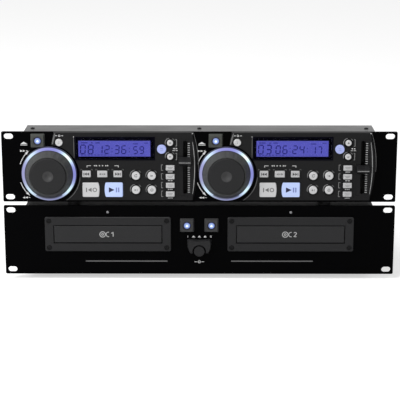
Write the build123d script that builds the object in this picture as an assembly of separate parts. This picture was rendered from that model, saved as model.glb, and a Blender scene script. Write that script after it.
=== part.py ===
from build123d import *
import math
import os

# Twin-deck disc player for a 19-inch rack: a transport unit with two disc
# drives, and a control unit with two decks that stands on its top cover.
# Millimetres. X runs to the right seen from the front, Y to the back, Z up.
# The drawing has Y = 0 at the front faces of both rack panels, X = 0 at their
# middle and Z = 0 under the transport's feet. ORIGIN_Y then brings the middle
# of the whole depth to Y = 0.

# ---------------------------------------------------------------- rack format
PANEL_W = 482.6                 # 19 inches
PANEL_H = 88.1                  # two rack units less the usual 0.8 mm
PANEL_T = 2.5
PANEL_CORNER = 1.8
EAR_SLOT_X = 465.1              # between slot centres
EAR_SLOT_Z = 76.2
EAR_SLOT_L = 11.3
EAR_SLOT_H = 7.0

# ---------------------------------------------------------------------- cases
CASE_W = 430.0
SHEET = 1.2
COVER_BELOW_PANEL = 2.0         # the cover lies lower than the panel's top edge
BASE_ABOVE_PANEL = 1.15         # the base lies higher than its bottom edge
TRANSPORT_BACK = 250.0
CONTROL_BACK = 48.5
FOOT_H = 8.0
FOOT_R = 7.5
COVER_LIP = 12.0

TRANSPORT_Z = FOOT_H - BASE_ABOVE_PANEL
TRANSPORT_MID = TRANSPORT_Z + PANEL_H / 2
TRANSPORT_TOP = TRANSPORT_Z + PANEL_H - COVER_BELOW_PANEL
CONTROL_Z = TRANSPORT_TOP + FOOT_H - BASE_ABOVE_PANEL
CONTROL_MID = CONTROL_Z + PANEL_H / 2
CONTROL_TOP = CONTROL_Z + PANEL_H - COVER_BELOW_PANEL

# -------------------------------------------------------------------- clearances
GAP = 0.3                       # between pieces that move past each other
RUNNING = 0.05                  # radial, shaft in bush

# ---------------------------------------------------------------------- decks
DECK_X = 108.5                  # deck centres left and right of the middle
PLATE_T = 3.0                   # moulded deck plate in front of the panel
PLATE_RIM = 3.0                 # the plate laps this far over the panel
ARC_RIM = 0.9                   # and this far round the jog
JOG_X = -75.3                   # jog centre from the deck's centre
JOG_Z = -8.2
PLATE_ARC_R = 36.8              # the plate's edge round the jog
PLATE_ARC_Z = JOG_Z - 1.2
RING_OUT_R = 34.0
RING_IN_R = 29.3
RING_FRONT = 4.6
SHUTTLE_R = 29.0
SHUTTLE_TOP_R = 23.6
SHUTTLE_FRONT = 15.6
DISC_R = 22.2
DISC_FRONT = 17.5
DISC_T = 3.0
JOG_SHAFT_R = 3.0
HUB_R = 6.5
SHUTTLE_WALL = 1.8
SHUTTLE_SKIRT = 0.8             # the ring starts this far in front of the panel
CONE_FOOT = 4.4                 # and its cone here
CONE_INSIDE = 4.2               # and the inside of the cone here
MOUTH_R = 22.6                  # round opening in front, which the disc fills
WEB = (8.4, 10.4)               # plate between cone and hub, back and front
WEB_R = 25.2
FLUTES = 16
FLUTE_R = 7.0
FLUTE_DEPTH = 0.45
DISC_EDGE = 0.9
DISH_R = 7.2                    # finger dish in the disc
DISH_DEPTH = 2.0

WINDOW_X = (-41.6, 53.0)
WINDOW_Z = (11.0, 36.9)
DISPLAY_RIM = 1.7
RIM_PROUD = 0.6
WINDOW_T = 2.0
WINDOW_PROUD = 0.1

KEY_PROUD = 1.6
KEY_TRAVEL = 1.0
KEY_FLANGE_T = 1.2
KEY_LAP = 1.2
KEY_EDGE = 0.4                  # bevel round a key's face
KEY_RIM = 2.2                   # raised rim's width round a key
KEY_WELL = 1.0                  # sunk margin inside the rim
KEY_RIM_PROUD = 0.5
PAD = (54.6, 21.6)              # raised pad under the two large keys
PAD_SPOT = (-9.9, -27.9)

FADER_X = 91.1
FADER_TRAVEL = 30.0             # each way from the middle
FADER_STEM = (2.4, 5.2)
FADER_SLOT = (3.6, 2 * FADER_TRAVEL + FADER_STEM[1] + 1.4)
FADER_CHANNEL = (16.4, 71.6)
FADER_KNOB = (15.6, 11.0)
FADER_FRONT = 13.0
KNOB_SKIRT = 1.8                # its upright sides at the foot
KNOB_RIDGE = 3.2                # and its flat ridge
CARRIAGE = (8.0, 9.0)           # its foot behind the plate
CARRIAGE_BACK = 2.4
FADER_REST = {1: 8.0, 2: -2.3}  # knob heights as the decks were left

DECK_EJECT_X = -88.3
DECK_EJECT_Z = 32.8
EJECT_SIZE = 17.5
EJECT_SLOPE = 1.5               # how far the housing's sides slope in
EJECT_PROUD = 3.4
LENS_R = 4.3
LENS_SUNK = 0.3                 # the lens lies this far behind the housing's face
LENS_EDGE = 0.6
LENS_WELL = (1.3, 1.4)          # width and depth of the well round it

# ----------------------------------------------------------------- transport
BAY_X = 113.0                   # drive centres left and right of the middle
BAY_Z = TRANSPORT_MID + 7.6
BEZEL = (156.0, 44.0)
BEZEL_T = 2.2
BEZEL_CORNER = 2.5
BAY = (135.0, 23.4)
BEZEL_SCREWS = (145.6, 34.2)
DOOR_GAP = 1.1
DOOR_T = 3.0
TRAY_W = 128.0
TRAY_L = 158.0
TRAY_T = 8.0
RAIL_Z = -3.4                   # tray's top from the bay's middle
RAIL = (5.4, 2.6)               # its side rail's lower and upper edge, below its top
RAIL_OUT = 2.5
DISC_SEAT_R = 60.8
SMALL_SEAT_R = 40.6
SEAT_DEPTH = 2.6
SMALL_SEAT_DEPTH = 1.8
SEAT_Y = 70.0                   # middle of the disc's seat behind the panel
SLIT = (34.0, 92.0)             # opening for the hub and the reading lens
DRIVE = (150.0, 196.0, 46.0)
EJECT_X = 15.1
EJECT_Z = TRANSPORT_MID + 18.9
POWER_Z = TRANSPORT_MID - 13.85
POWER_R = 6.85
POWER_PROUD = 4.0
GUARD_PROUD = 5.0
LED_R = 1.6
LED_PROUD = 0.8
LED_Z = TRANSPORT_MID + 35.4

# --------------------------------------------------------------- drive inside
DRIVE_START = 2.0               # behind the panel
DRIVE_FLOOR = 2.4
DRIVE_DROP = 16.0               # its underside from the tray's
BRIDGE = (32.0, 3.0)            # depth and thickness of the clamp's bridge
CLAMP = (15.0, 6.5)             # radius and height
CLAMP_DROP = 9.0
HUB_TABLE = (13.0, 4.4)         # radius of the turntable, and how far below the spindle
SPINDLE_R = 7.2
SPINDLE_DROP = 2.0              # its tip from the tray's underside
SLED = (26.0, 26.0, 58.0)       # width, and reach behind the hub
SLED_DROP = 3.5
OPTIC = (3.4, 1.5, 36.0)        # radius, height, place behind the hub
LEG_R = 4.0
LEG_INSET = (6.0, 14.0)

# ----------------------------------------------------------------- back panel
SOCKET_DEPTH = 9.0              # how far the phono sockets stand out behind
SOCKET_R = 4.1
SOCKET_BORE = 1.7
SOCKET_BORE_DEPTH = 8.0
LINK_R = 6.4
LINK_DEPTH = 3.0
LINK_COLLAR = (1.8, 2.4)        # wall and depth of its collar
SOCKET_PLAY = 0.1               # round a socket in its hole
INLET_X = -178.0
INLET_Z = FOOT_H + 30.0
INLET_BODY = (27.4, 20.4)
INLET_MOUTH = (24.2, 16.8)
INLET_DEPTH = 16.0
INLET_FLANGE = (33.0, 26.0, 2.0)
INLET_BACK = 6.0                # its closed end, inside
PINS = ((-7.0, -2.6), (7.0, -2.6), (0.0, 2.6))
PIN = (2.0, 4.0)
PIN_SUNK = 3.4
PHONO_X = (-30.0, 0.0, 60.0, 90.0)
PHONO_Z = (FOOT_H + 24.0, FOOT_H + 42.0)
LINK_SPOTS = ((137.0, PHONO_Z[0]), (163.0, PHONO_Z[0]))
CONTROL_LINKS = ((-30.0, CONTROL_Z + 26.0), (30.0, CONTROL_Z + 26.0))
ORIGIN_Y = (DISC_FRONT - (TRANSPORT_BACK + SOCKET_DEPTH)) / 2

# ----------------------------------------------------------- boards, inside
BOARD_Y = 9.0                   # front face of the deck boards
FRONT_BOARD_Y = 11.0            # and of the transport's key board
BOARD_T = 1.6
SWITCH = 6.0                    # width and height of a key's switch
SWITCH_T = 3.6
SWITCH_TIP_R = 1.7
POWER_TRAVEL = 1.5
TOUCH = 0.1                     # left between a pressed key and its switch
POT = (8.6, 75.0)
POT_FRONT = 3.2
LEVER = (1.2, 4.0)
LEVER_END = 7.0
ENCODER = 28.0
ENCODER_BACK = 14.0
HUB_END = 9.0
SHAFT_END = 12.0
DECK_BOARD = ((-97.0, 98.0), (-38.5, 39.5))
SPACERS = ((-49.0, 30.0), (20.5, -19.0), (61.0, -19.0), (82.0, 37.0), (82.0, -35.5))
SPACER_R = 2.2
GLASS_INSET = 0.8               # display glass inside its window
KEY_BOARD = (30.0, 9.0)         # half its width, and how far past the buttons it goes
KEY_BOARD_SPACER_X = 25.5
MAIN_BOARD = ((-56.0, 56.0), (206.0, 238.0))
MAIN_BOARD_LIFT = 6.0
SUPPLY_BOARD = ((-205.0, -120.0), (204.0, 226.0))
SUPPLY_LIFT = 4.0
POST_R = 3.0
POST_INSET = (5.0, 4.0)
CORE = ((-196.0, -150.0), (206.0, 224.0), 34.0)
COIL = ((-189.0, -157.0), (201.0, 229.0), (6.0, 28.0))
PHONO_BOARD = ((-45.0, 105.0), (FOOT_H + 12, FOOT_H + 54))
LINK_BOARD = ((122.0, 178.0), (FOOT_H + 10, FOOT_H + 40))
SOCKET_BOARD_GAP = 3.2          # between a socket board and the transport's back edge
CONTROL_BOARD = (60.0, 14.0)    # half its width and height
CONTROL_BOARD_GAP = 4.2

# ---------------------------------------------------------- screws and feet
WELL_R = 3.2                    # well of a bezel screw
WELL_FLOOR = 0.9
BEZEL_HEAD = (2.8, 1.0)         # radius and height
SHANK_R = 1.5
COVER_HEAD = (2.6, 1.3)
COVER_SCREW_X = (-206.0, 0.0, 206.0)
COVER_SCREW_Y = (28.0, TRANSPORT_BACK - 8.0)
FEET = ((175.0, (32.0, 222.0), 0.0), (156.0, (12.5, 38.0), TRANSPORT_TOP))

FLAT = (Align.CENTER, Align.CENTER, Align.MIN)


# ------------------------------------------------------------------- helpers
def facing(y):
    """A plane across Y, drawn on in X and Z as seen from the front."""
    return Plane((0, y, 0), x_dir=(1, 0, 0), z_dir=(0, -1, 0))


def tapered(foot, face, proud):
    """A raised piece on the panel whose straight sides slope in to its face."""
    return loft([(facing(0) * foot).face(), (facing(-proud) * face).face()], ruled=True)


def slab(outline, front, back):
    """A flat outline drawn in X and Z, given thickness from Y=front to back."""
    return extrude(facing(back) * outline, back - front)


def at(x, z, y=0.0):
    return Pos(x, y, z)


def block(x, y, z):
    """A box from three (low, high) pairs."""
    size = (x[1] - x[0], y[1] - y[0], z[1] - z[0])
    return Pos((x[0] + x[1]) / 2, (y[0] + y[1]) / 2, (z[0] + z[1]) / 2) * Box(*size)


def rod(radius, front, back):
    """A round bar along Y."""
    return slab(Circle(radius), front, back)


def bevel_front(shape, size):
    """Bevels the edges of the foremost flat face."""
    face = shape.faces().sort_by(Axis.Y)[0]
    return chamfer(face.edges(), size)


def group(*solids):
    return Compound([s for part in solids for s in part.solids()])


def write(name, shape):
    export_step(Pos(0, ORIGIN_Y, 0) * shape, f"parts/{name}.step")


# ------------------------------------------------------------- deck plan
def key_bar(width, height, corner=0.8):
    return RectangleRounded(width, height, corner)


def key_bowed(width, height, bow, side):
    """A key whose one upright side is an arc, towards its neighbour."""
    w, h = width / 2, height / 2
    with BuildSketch() as sketch:
        with BuildLine():
            ends = [(-side * w, h), (-side * w, -h), (side * (w - bow), -h)]
            Polyline((side * (w - bow), h), *ends)
            ThreePointArc(ends[-1], (side * w, 0), (side * (w - bow), h))
        make_face()
        fillet(sketch.vertices(), 1.3)
    return sketch.sketch


def deck_keys():
    """Every key of one deck: name, (x, z) from the deck's centre, outline."""
    keys = {
        "time_button": ((-62.2, 31.3), Circle(4.4)),
        "pitch_button": ((62.7, 23.0), Circle(5.5)),
        "bend_plus_button": ((73.0, 30.9), Circle(3.7)),
        "bend_minus_button": ((73.0, 13.7), Circle(3.7)),
        "skip_back_button": ((-29.3, -8.0), key_bar(10.4, 8.0)),
        "search_button": ((-10.0, -8.0), key_bar(12.2, 8.0)),
        "skip_forward_button": ((8.9, -8.0), key_bar(10.4, 8.0)),
        "cue_button": ((-24.1, -27.9), key_bowed(20.8, 18.0, 1.2, 1)),
        "play_button": ((3.6, -27.9), key_bowed(22.0, 18.0, 1.4, -1)),
    }
    for row in range(2):
        for column in range(2):
            spot = (31.0 + 19.4 * column, -10.1 - 17.9 * row)
            keys[f"round_button_{row + 1}{'ab'[column]}"] = (spot, Circle(5.1))
    for row in range(4):
        keys[f"bar_button_{row + 1}"] = ((73.0, -0.3 - 11.0 * row), key_bar(10.6, 6.4))
    return keys


def flange_for(name, outline):
    """Width and height of the flange: two lugs on a round key, a frame on others."""
    size = outline.bounding_box().size
    lug, waist = 2 * KEY_LAP, -2.0
    if name == "time_button":
        return (size.X + lug, size.Y + waist)
    if round_key(outline):
        return (size.X + waist, size.Y + lug)
    return (size.X + lug, size.Y + lug)


def grown(outline, by):
    return offset(outline, by, kind=Kind.INTERSECTION)


def window_size():
    """Width and height of a display window, and its middle."""
    size = (WINDOW_X[1] - WINDOW_X[0], WINDOW_Z[1] - WINDOW_Z[0])
    return size, (sum(WINDOW_X) / 2, sum(WINDOW_Z) / 2)


def plate_outline(top_bow, rim, arc_r):
    """The deck plate: slanted left side, round the jog, bowed right side."""
    top, bottom = PANEL_H / 2 - rim, -42.0 + rim
    lean = JOG_X + 3.3
    up = math.sqrt(arc_r**2 - (lean - JOG_X)**2)
    down = math.sqrt(arc_r**2 - (bottom - PLATE_ARC_Z)**2)
    left_top, left_low = (-69.0 + rim, top), (lean, PLATE_ARC_Z + up)
    foot, right_low = (JOG_X + down, bottom), (100.8 - rim, bottom)
    right_bow, right_top = (100.8 + top_bow - rim, 1.5), (100.5 - rim, top)
    with BuildSketch() as sketch:
        with BuildLine():
            Line(left_top, left_low)
            ThreePointArc(left_low, (JOG_X + arc_r, PLATE_ARC_Z), foot)
            Line(foot, right_low)
            ThreePointArc(right_low, right_bow, right_top)
            Line(right_top, left_top)
        make_face()
    return sketch.sketch


def round_key(outline):
    size = outline.bounding_box().size
    return abs(size.X - size.Y) < 0.01


def margin(outline, by):
    """The outline of a rim, well or hole that follows a key at a distance."""
    size = outline.bounding_box().size
    if round_key(outline):
        return Circle(size.X / 2 + by)
    return Rectangle(size.X + 2 * by, size.Y + 2 * by)


def deck_plate(keys):
    """One moulded plate with bevelled sides, rims round the keys and wells."""
    foot_face = plate_outline(6.2, 0.0, PLATE_ARC_R)
    front_face = plate_outline(2.6, 0.7, PLATE_ARC_R + 0.7)
    plate = tapered(foot_face, front_face, PLATE_T)
    sunk, through = -PLATE_T - 2, (-PLATE_T - 5, 5)
    w, middle = window_size()
    frame = slab(RectangleRounded(w[0] + 2 * DISPLAY_RIM, w[1] + 2 * DISPLAY_RIM, 1.2),
                 -PLATE_T - RIM_PROUD, -PLATE_T + 0.5)
    frame = at(*middle) * bevel_front(frame, RIM_PROUD * 0.8)
    plate += frame - at(JOG_X, PLATE_ARC_Z) * rod(PLATE_ARC_R + 0.7, *through)
    pad = slab(RectangleRounded(*PAD, 1.5), -PLATE_T - KEY_RIM_PROUD, -PLATE_T + 0.5)
    plate += at(*PAD_SPOT) * pad
    for name, (spot, outline) in keys.items():
        if name.startswith(("cue", "play")):
            plate -= at(*spot) * slab(grown(outline, GAP), *through)
            continue
        rim = slab(margin(outline, KEY_RIM), -PLATE_T - KEY_RIM_PROUD, -PLATE_T + 0.5)
        if name != "time_button":
            plate += at(*spot) * rim
        plate -= at(*spot) * slab(margin(outline, KEY_WELL), sunk, -PLATE_T + 0.4)
        plate -= at(*spot) * slab(margin(outline, GAP), *through)
    plate -= at(FADER_X, 0) * slab(RectangleRounded(*FADER_CHANNEL, 1.0), sunk, -PLATE_T + 0.6)
    plate -= at(*middle) * slab(Rectangle(*w), *through)
    return plate - at(FADER_X, 0) * slab(RectangleRounded(*FADER_SLOT, 1.2), *through)


def key_cap(outline, flange):
    """A key: bevelled cap through the plate and a flange that holds it in."""
    cap = bevel_front(slab(outline, -PLATE_T - KEY_PROUD, GAP), KEY_EDGE)
    return cap + slab(Rectangle(*flange), GAP, GAP + KEY_FLANGE_T)


# -------------------------------------------------------------- jog wheel
def turned(profile):
    """Turns a closed (radius, y) profile round the Y axis."""
    face = make_face(Polyline(*[(r, y, 0) for r, y in profile], close=True))
    return revolve(face, Axis.Y)


def light_ring():
    return turned([
        (RING_IN_R, 0), (RING_OUT_R, 0), (RING_OUT_R, -RING_FRONT + 1.2),
        (RING_OUT_R - 1.2, -RING_FRONT), (RING_IN_R + 0.6, -RING_FRONT),
        (RING_IN_R, -RING_FRONT + 0.6)])


def shuttle_ring():
    """Sprung search ring: a cone with finger flutes, a web and a long hub."""
    bore, inner = JOG_SHAFT_R + RUNNING, SHUTTLE_R - SHUTTLE_WALL
    back, front = WEB
    ring = turned([
        (bore, HUB_END), (HUB_R, HUB_END), (HUB_R, -back), (WEB_R, -back),
        (inner, -CONE_INSIDE), (inner, -SHUTTLE_SKIRT), (SHUTTLE_R, -SHUTTLE_SKIRT),
        (SHUTTLE_R, -CONE_FOOT), (SHUTTLE_TOP_R, -SHUTTLE_FRONT), (MOUTH_R, -SHUTTLE_FRONT),
        (MOUTH_R, -front), (bore, -front)])
    run, rise = SHUTTLE_R - SHUTTLE_TOP_R, SHUTTLE_FRONT - CONE_FOOT
    slope = math.atan2(run, rise)
    mid = (SHUTTLE_R + SHUTTLE_TOP_R) / 2, -(CONE_FOOT + SHUTTLE_FRONT) / 2
    out = FLUTE_R - FLUTE_DEPTH
    spot = Pos(mid[0] + out * math.cos(slope), mid[1] - out * math.sin(slope), 0)
    flute = spot * Rot(0, 0, -math.degrees(slope)) * Rot(90, 0, 0) * Cylinder(FLUTE_R, 30)
    for n in range(FLUTES):
        ring -= Rot(0, 360 * n / FLUTES, 0) * flute
    return ring


def jog_disc():
    """Hand disc with a finger dish, on the shaft that runs in the shuttle's hub."""
    disc = rod(DISC_R, -DISC_FRONT, -DISC_FRONT + DISC_T)
    disc = bevel_front(disc, DISC_EDGE)
    ball = (DISH_R**2 + DISH_DEPTH**2) / (2 * DISH_DEPTH)
    disc -= Pos(0, -DISC_FRONT + DISH_DEPTH - ball, 0) * Sphere(ball)
    return disc + rod(JOG_SHAFT_R, -DISC_FRONT + DISC_T, SHAFT_END)


def fader_knob():
    """Pitch slider: finger ridge, stem through the slot, foot and lever behind."""
    w, h = FADER_KNOB
    foot, ridge, top = -PLATE_T - GAP, -FADER_FRONT, KNOB_RIDGE / 2
    shoulder = foot - KNOB_SKIRT
    side = [(foot, -h / 2), (shoulder, -h / 2), (ridge, -top), (ridge, top),
            (shoulder, h / 2), (foot, h / 2)]
    profile = make_face(Polyline(*[(0, y, z) for y, z in side], close=True))
    knob = Pos(-w / 2, 0, 0) * extrude(profile, w, dir=(1, 0, 0))
    stem = slab(Rectangle(*FADER_STEM), foot - 0.2, 1.2)
    carriage = slab(Rectangle(*CARRIAGE), GAP, CARRIAGE_BACK)
    lever = slab(Rectangle(*LEVER), CARRIAGE_BACK - 0.4, LEVER_END)
    return knob + stem + carriage + lever


# ------------------------------------------------------- lit eject buttons
def eject_housing():
    """Square surround with sloping sides and a round well for the lens."""
    face = EJECT_SIZE - 2 * EJECT_SLOPE
    shell = tapered(RectangleRounded(EJECT_SIZE, EJECT_SIZE, 1.2),
                    RectangleRounded(face, face, 1.2), EJECT_PROUD)
    wide, deep = LENS_WELL
    shell -= rod(LENS_R + wide, -EJECT_PROUD - 1, -EJECT_PROUD + deep)
    return shell - rod(LENS_R + GAP, -10, 1)


def eject_lens():
    lens = bevel_front(rod(LENS_R, -EJECT_PROUD + LENS_SUNK, PANEL_T + GAP), LENS_EDGE)
    lap = 2 * (LENS_R + KEY_LAP)
    return lens + slab(Rectangle(lap, lap), PANEL_T + GAP, PANEL_T + GAP + KEY_FLANGE_T)


# ---------------------------------------------------------------- rack panels
def rack_panel():
    """Flat panel with four rack slots, its middle at Z = 0."""
    panel = slab(RectangleRounded(PANEL_W, PANEL_H, PANEL_CORNER), 0, PANEL_T)
    slot = slab(SlotOverall(EAR_SLOT_L, EAR_SLOT_H), -1, PANEL_T + 1)
    for x in (-1, 1):
        for z in (-1, 1):
            panel -= at(x * EAR_SLOT_X / 2, z * EAR_SLOT_Z / 2) * slot
    return panel


def control_panel():
    panel = rack_panel()
    window = slab(plate_outline(0.0, PLATE_RIM, PLATE_ARC_R + ARC_RIM), -1, PANEL_T + 1)
    for side in (-1, 1):
        deck = at(side * DECK_X, 0)
        panel -= deck * window
        panel -= deck * at(JOG_X, JOG_Z) * rod(HUB_R + GAP, -1, PANEL_T + 1)
        panel -= deck * at(DECK_EJECT_X, DECK_EJECT_Z) * rod(LENS_R + GAP, -1, PANEL_T + 1)
    return at(0, CONTROL_MID) * panel


def transport_panel():
    panel = at(0, TRANSPORT_MID) * rack_panel()
    bay = slab(Rectangle(BAY[0] + 2, BAY[1] + 2), -1, PANEL_T + 1)
    for side in (-1, 1):
        panel -= at(side * BAY_X, BAY_Z) * bay
        panel -= at(side * BAY_X, LED_Z) * rod(LED_R, -1, PANEL_T + 1)
        panel -= at(side * EJECT_X, EJECT_Z) * rod(LENS_R + GAP, -1, PANEL_T + 1)
        for x in (-1, 1):
            for z in (-1, 1):
                spot = at(side * BAY_X + x * BEZEL_SCREWS[0] / 2, BAY_Z + z * BEZEL_SCREWS[1] / 2)
                panel -= spot * rod(SHANK_R, -1, PANEL_T + 1)
    return panel - at(0, POWER_Z) * rod(POWER_R + GAP, -1, PANEL_T + 1)


# ---------------------------------------------------------------------- cases
def tray_box(back, low, high, front=PANEL_T):
    """Folded base: bottom, two sides and a back, open on top and in front."""
    half = CASE_W / 2
    outer = block((-half, half), (front, back), (low, high - SHEET))
    inner = block((-half + SHEET, half - SHEET), (front - 1, back - SHEET), (low + SHEET, high))
    return outer - inner


def lid(back, high, front=PANEL_T):
    """Top cover with side lips that drop inside the base's walls."""
    half = CASE_W / 2
    top = block((-half, half), (front, back), (high - SHEET, high))
    for side in (-1, 1):
        outer, inner = side * (half - SHEET), side * (half - 2 * SHEET)
        x = (min(outer, inner), max(outer, inner))
        top += block(x, (front + 1, back - 4), (high - COVER_LIP, high - SHEET))
    return top


def vent_slots(case, back, low):
    """Two rows of upright slots near the back of each side wall."""
    slot = Box(CASE_W + 10, 2.4, 16)
    for n in range(8):
        case -= Pos(0, back - 24 - 6 * n, low + 24) * slot
    return case


def transport_chassis():
    low = FOOT_H
    case = tray_box(TRANSPORT_BACK, low, TRANSPORT_TOP)
    case = vent_slots(case, TRANSPORT_BACK, low)
    for cut in back_cuts():
        case -= cut
    return case


# --------------------------------------------------------------- back sockets
def back_cuts():
    """Holes of the transport's back wall."""
    through = (TRANSPORT_BACK - 3, TRANSPORT_BACK + 1)
    cuts = [at(INLET_X, INLET_Z) * slab(Rectangle(*INLET_BODY), *through)]
    for x in PHONO_X:
        for z in PHONO_Z:
            cuts.append(at(x, z) * rod(SOCKET_R + SOCKET_PLAY, *through))
    for spot in LINK_SPOTS:
        cuts.append(at(*spot) * rod(LINK_R + SOCKET_PLAY, *through))
    return cuts


def mains_inlet():
    """Recessed inlet with a flange behind the case, and its three flat pins."""
    face = TRANSPORT_BACK
    pocket = face - INLET_DEPTH
    flange = INLET_FLANGE
    body = slab(Rectangle(*INLET_BODY), pocket - INLET_BACK, face)
    body += slab(RectangleRounded(flange[0], flange[1], 3.0), face, face + flange[2])
    body -= slab(RectangleRounded(*INLET_MOUTH, 2.0), pocket, face + flange[2] + 1)
    pins = [at(*spot) * slab(Rectangle(*PIN), pocket, face - PIN_SUNK) for spot in PINS]
    return [at(INLET_X, INLET_Z) * part for part in (body, *pins)]


def phono_socket(spot, board_face):
    """A collar that stands out behind the case, with a bore for the plug's pin."""
    back = TRANSPORT_BACK + SOCKET_DEPTH
    collar = rod(SOCKET_R, board_face, back)
    return at(*spot) * (collar - rod(SOCKET_BORE, back - SOCKET_BORE_DEPTH, back + 1))


def link_socket(spot, board_face, case_face):
    """Round socket for the lead between the units: a thin collar round an insert."""
    back = case_face + LINK_DEPTH
    collar = rod(LINK_R, board_face, back)
    wall, deep = LINK_COLLAR
    return at(*spot) * (collar - rod(LINK_R - wall, back - deep, back + 1))


def standing(x, y, lift):
    """A board that lies on four posts on the transport's floor."""
    floor = FOOT_H + SHEET
    board = block(x, y, (floor + lift, floor + lift + BOARD_T))
    dx, dy = POST_INSET
    posts = [Pos(px, py, floor) * Cylinder(POST_R, lift, align=FLAT)
             for px in (x[0] + dx, x[1] - dx) for py in (y[0] + dy, y[1] - dy)]
    return board.fuse(*posts)


# -------------------------------------------------------------- circuit boards
def switch(spot, key_back, travel, board_face):
    """A small press switch behind a key, its tip just past the pressed key."""
    tip, front = key_back + travel + TOUCH, board_face - SWITCH_T
    body = slab(Rectangle(SWITCH, SWITCH), front, board_face)
    return at(*spot) * (body + rod(SWITCH_TIP_R, tip, front))


def encoder():
    """Bush for the shuttle ring's hub, and behind it one for the jog's shaft."""
    body = slab(Rectangle(ENCODER, ENCODER), PANEL_T, ENCODER_BACK)
    body -= rod(HUB_R + RUNNING, PANEL_T - 1, HUB_END + GAP)
    return body - rod(JOG_SHAFT_R + RUNNING, HUB_END, SHAFT_END + GAP)


def deck_board(keys):
    """Board behind one deck: switches, display, fader, encoder and spacers."""
    x, z = DECK_BOARD
    board = block(x, (BOARD_Y, BOARD_Y + BOARD_T), z)
    board -= at(JOG_X, JOG_Z) * slab(Rectangle(ENCODER, ENCODER), BOARD_Y - 1, ENCODER_BACK)
    parts = [at(JOG_X, JOG_Z) * encoder()]
    for spot, _ in keys.values():
        parts.append(switch(spot, GAP + KEY_FLANGE_T, KEY_TRAVEL, BOARD_Y))
    eject_back = PANEL_T + GAP + KEY_FLANGE_T
    parts.append(switch((DECK_EJECT_X, DECK_EJECT_Z), eject_back, KEY_TRAVEL, BOARD_Y))
    w, middle = window_size()
    inset = 2 * GLASS_INSET
    glass = slab(Rectangle(w[0] - inset, w[1] - inset), -PLATE_T + WINDOW_T, BOARD_Y)
    parts.append(at(*middle) * glass)
    pot = slab(Rectangle(*POT), POT_FRONT, BOARD_Y)
    pot -= slab(Rectangle(LEVER[0] + 0.8, 2 * FADER_TRAVEL + LEVER[1] + 1), 0, LEVER_END + 0.5)
    parts.append(at(FADER_X, 0) * pot)
    for spot in SPACERS:
        parts.append(at(*spot) * rod(SPACER_R, 0, BOARD_Y))
    return [board, *parts]


def transport_key_board():
    """Board between the drives: switches of the two eject and the power buttons."""
    face = FRONT_BOARD_Y
    half, past = KEY_BOARD
    board = block((-half, half), (face, face + BOARD_T), (POWER_Z - past, EJECT_Z + past))
    back = PANEL_T + GAP + KEY_FLANGE_T
    parts = [switch((0, POWER_Z), back, POWER_TRAVEL, face)]
    for side in (-1, 1):
        parts.append(switch((side * EJECT_X, EJECT_Z), back, KEY_TRAVEL, face))
        for z in (POWER_Z, EJECT_Z):
            parts.append(at(side * KEY_BOARD_SPACER_X, z) * rod(SPACER_R, PANEL_T, face))
    return [board, *parts]


def circuit_boards():
    """Key boards behind the panels, the main board and the socket boards."""
    parts = transport_key_board()
    for side in (-1, 1):
        for part in deck_board(deck_keys()):
            parts.append(at(side * DECK_X, CONTROL_MID) * part)
    parts.append(standing(*MAIN_BOARD, MAIN_BOARD_LIFT))
    face = TRANSPORT_BACK - SOCKET_BOARD_GAP
    for x, z in (PHONO_BOARD, LINK_BOARD):
        parts.append(block(x, (face - BOARD_T, face), z))
    for x in PHONO_X:
        parts += [phono_socket((x, z), face) for z in PHONO_Z]
    parts += [link_socket(spot, face, TRANSPORT_BACK) for spot in LINK_SPOTS]
    face, z = CONTROL_BACK - CONTROL_BOARD_GAP, CONTROL_LINKS[0][1]
    half, high = CONTROL_BOARD
    parts.append(block((-half, half), (face - BOARD_T, face), (z - high, z + high)))
    parts += [link_socket(spot, face, CONTROL_BACK) for spot in CONTROL_LINKS]
    return group(*parts)


def control_case():
    """Shallow folded case of the control unit and its top cover."""
    low = CONTROL_Z + BASE_ABOVE_PANEL
    case = tray_box(CONTROL_BACK, low, CONTROL_TOP)
    for spot in CONTROL_LINKS:
        case -= at(*spot) * rod(LINK_R + SOCKET_PLAY, CONTROL_BACK - 3, CONTROL_BACK + 1)
    return group(case, lid(CONTROL_BACK, CONTROL_TOP))


def power_supply():
    """Mains inlet with the transformer and its board on the case's floor."""
    top = FOOT_H + SHEET + SUPPLY_LIFT + BOARD_T
    core = block(CORE[0], CORE[1], (top, top + CORE[2]))
    coil = block(COIL[0], COIL[1], (top + COIL[2][0], top + COIL[2][1]))
    return group(*mains_inlet(), standing(*SUPPLY_BOARD, SUPPLY_LIFT), core + coil)


# ------------------------------------------------------------- disc drives
def disc_tray():
    """Drawer with its door, two disc seats and the slit for the hub."""
    door = slab(Rectangle(BAY[0] - 2 * DOOR_GAP, BAY[1] - 2 * DOOR_GAP), -BEZEL_T, DOOR_T - BEZEL_T)
    door = bevel_front(door, 0.4)
    back = DOOR_T - BEZEL_T
    deck = block((-TRAY_W / 2, TRAY_W / 2), (back, back + TRAY_L), (RAIL_Z - TRAY_T, RAIL_Z))
    seat = Pos(0, SEAT_Y, RAIL_Z)
    deck -= seat * Pos(0, 0, -SEAT_DEPTH) * Cylinder(DISC_SEAT_R, 20, align=FLAT)
    deck -= seat * Pos(0, 0, -SEAT_DEPTH - SMALL_SEAT_DEPTH) * Cylinder(SMALL_SEAT_R, 20, align=FLAT)
    slit = (SEAT_Y - SLIT[0] / 2, SEAT_Y - SLIT[0] / 2 + SLIT[1])
    deck -= block((-SLIT[0] / 2, SLIT[0] / 2), slit, (RAIL_Z - 20, RAIL_Z + 5))
    for side in (-1, 1):
        x = (side * (TRAY_W / 2 - 1), side * (TRAY_W / 2 + RAIL_OUT))
        z = (RAIL_Z - RAIL[0], RAIL_Z - RAIL[1])
        deck += block((min(x), max(x)), (back + 4, back + TRAY_L), z)
    return door + deck


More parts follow.
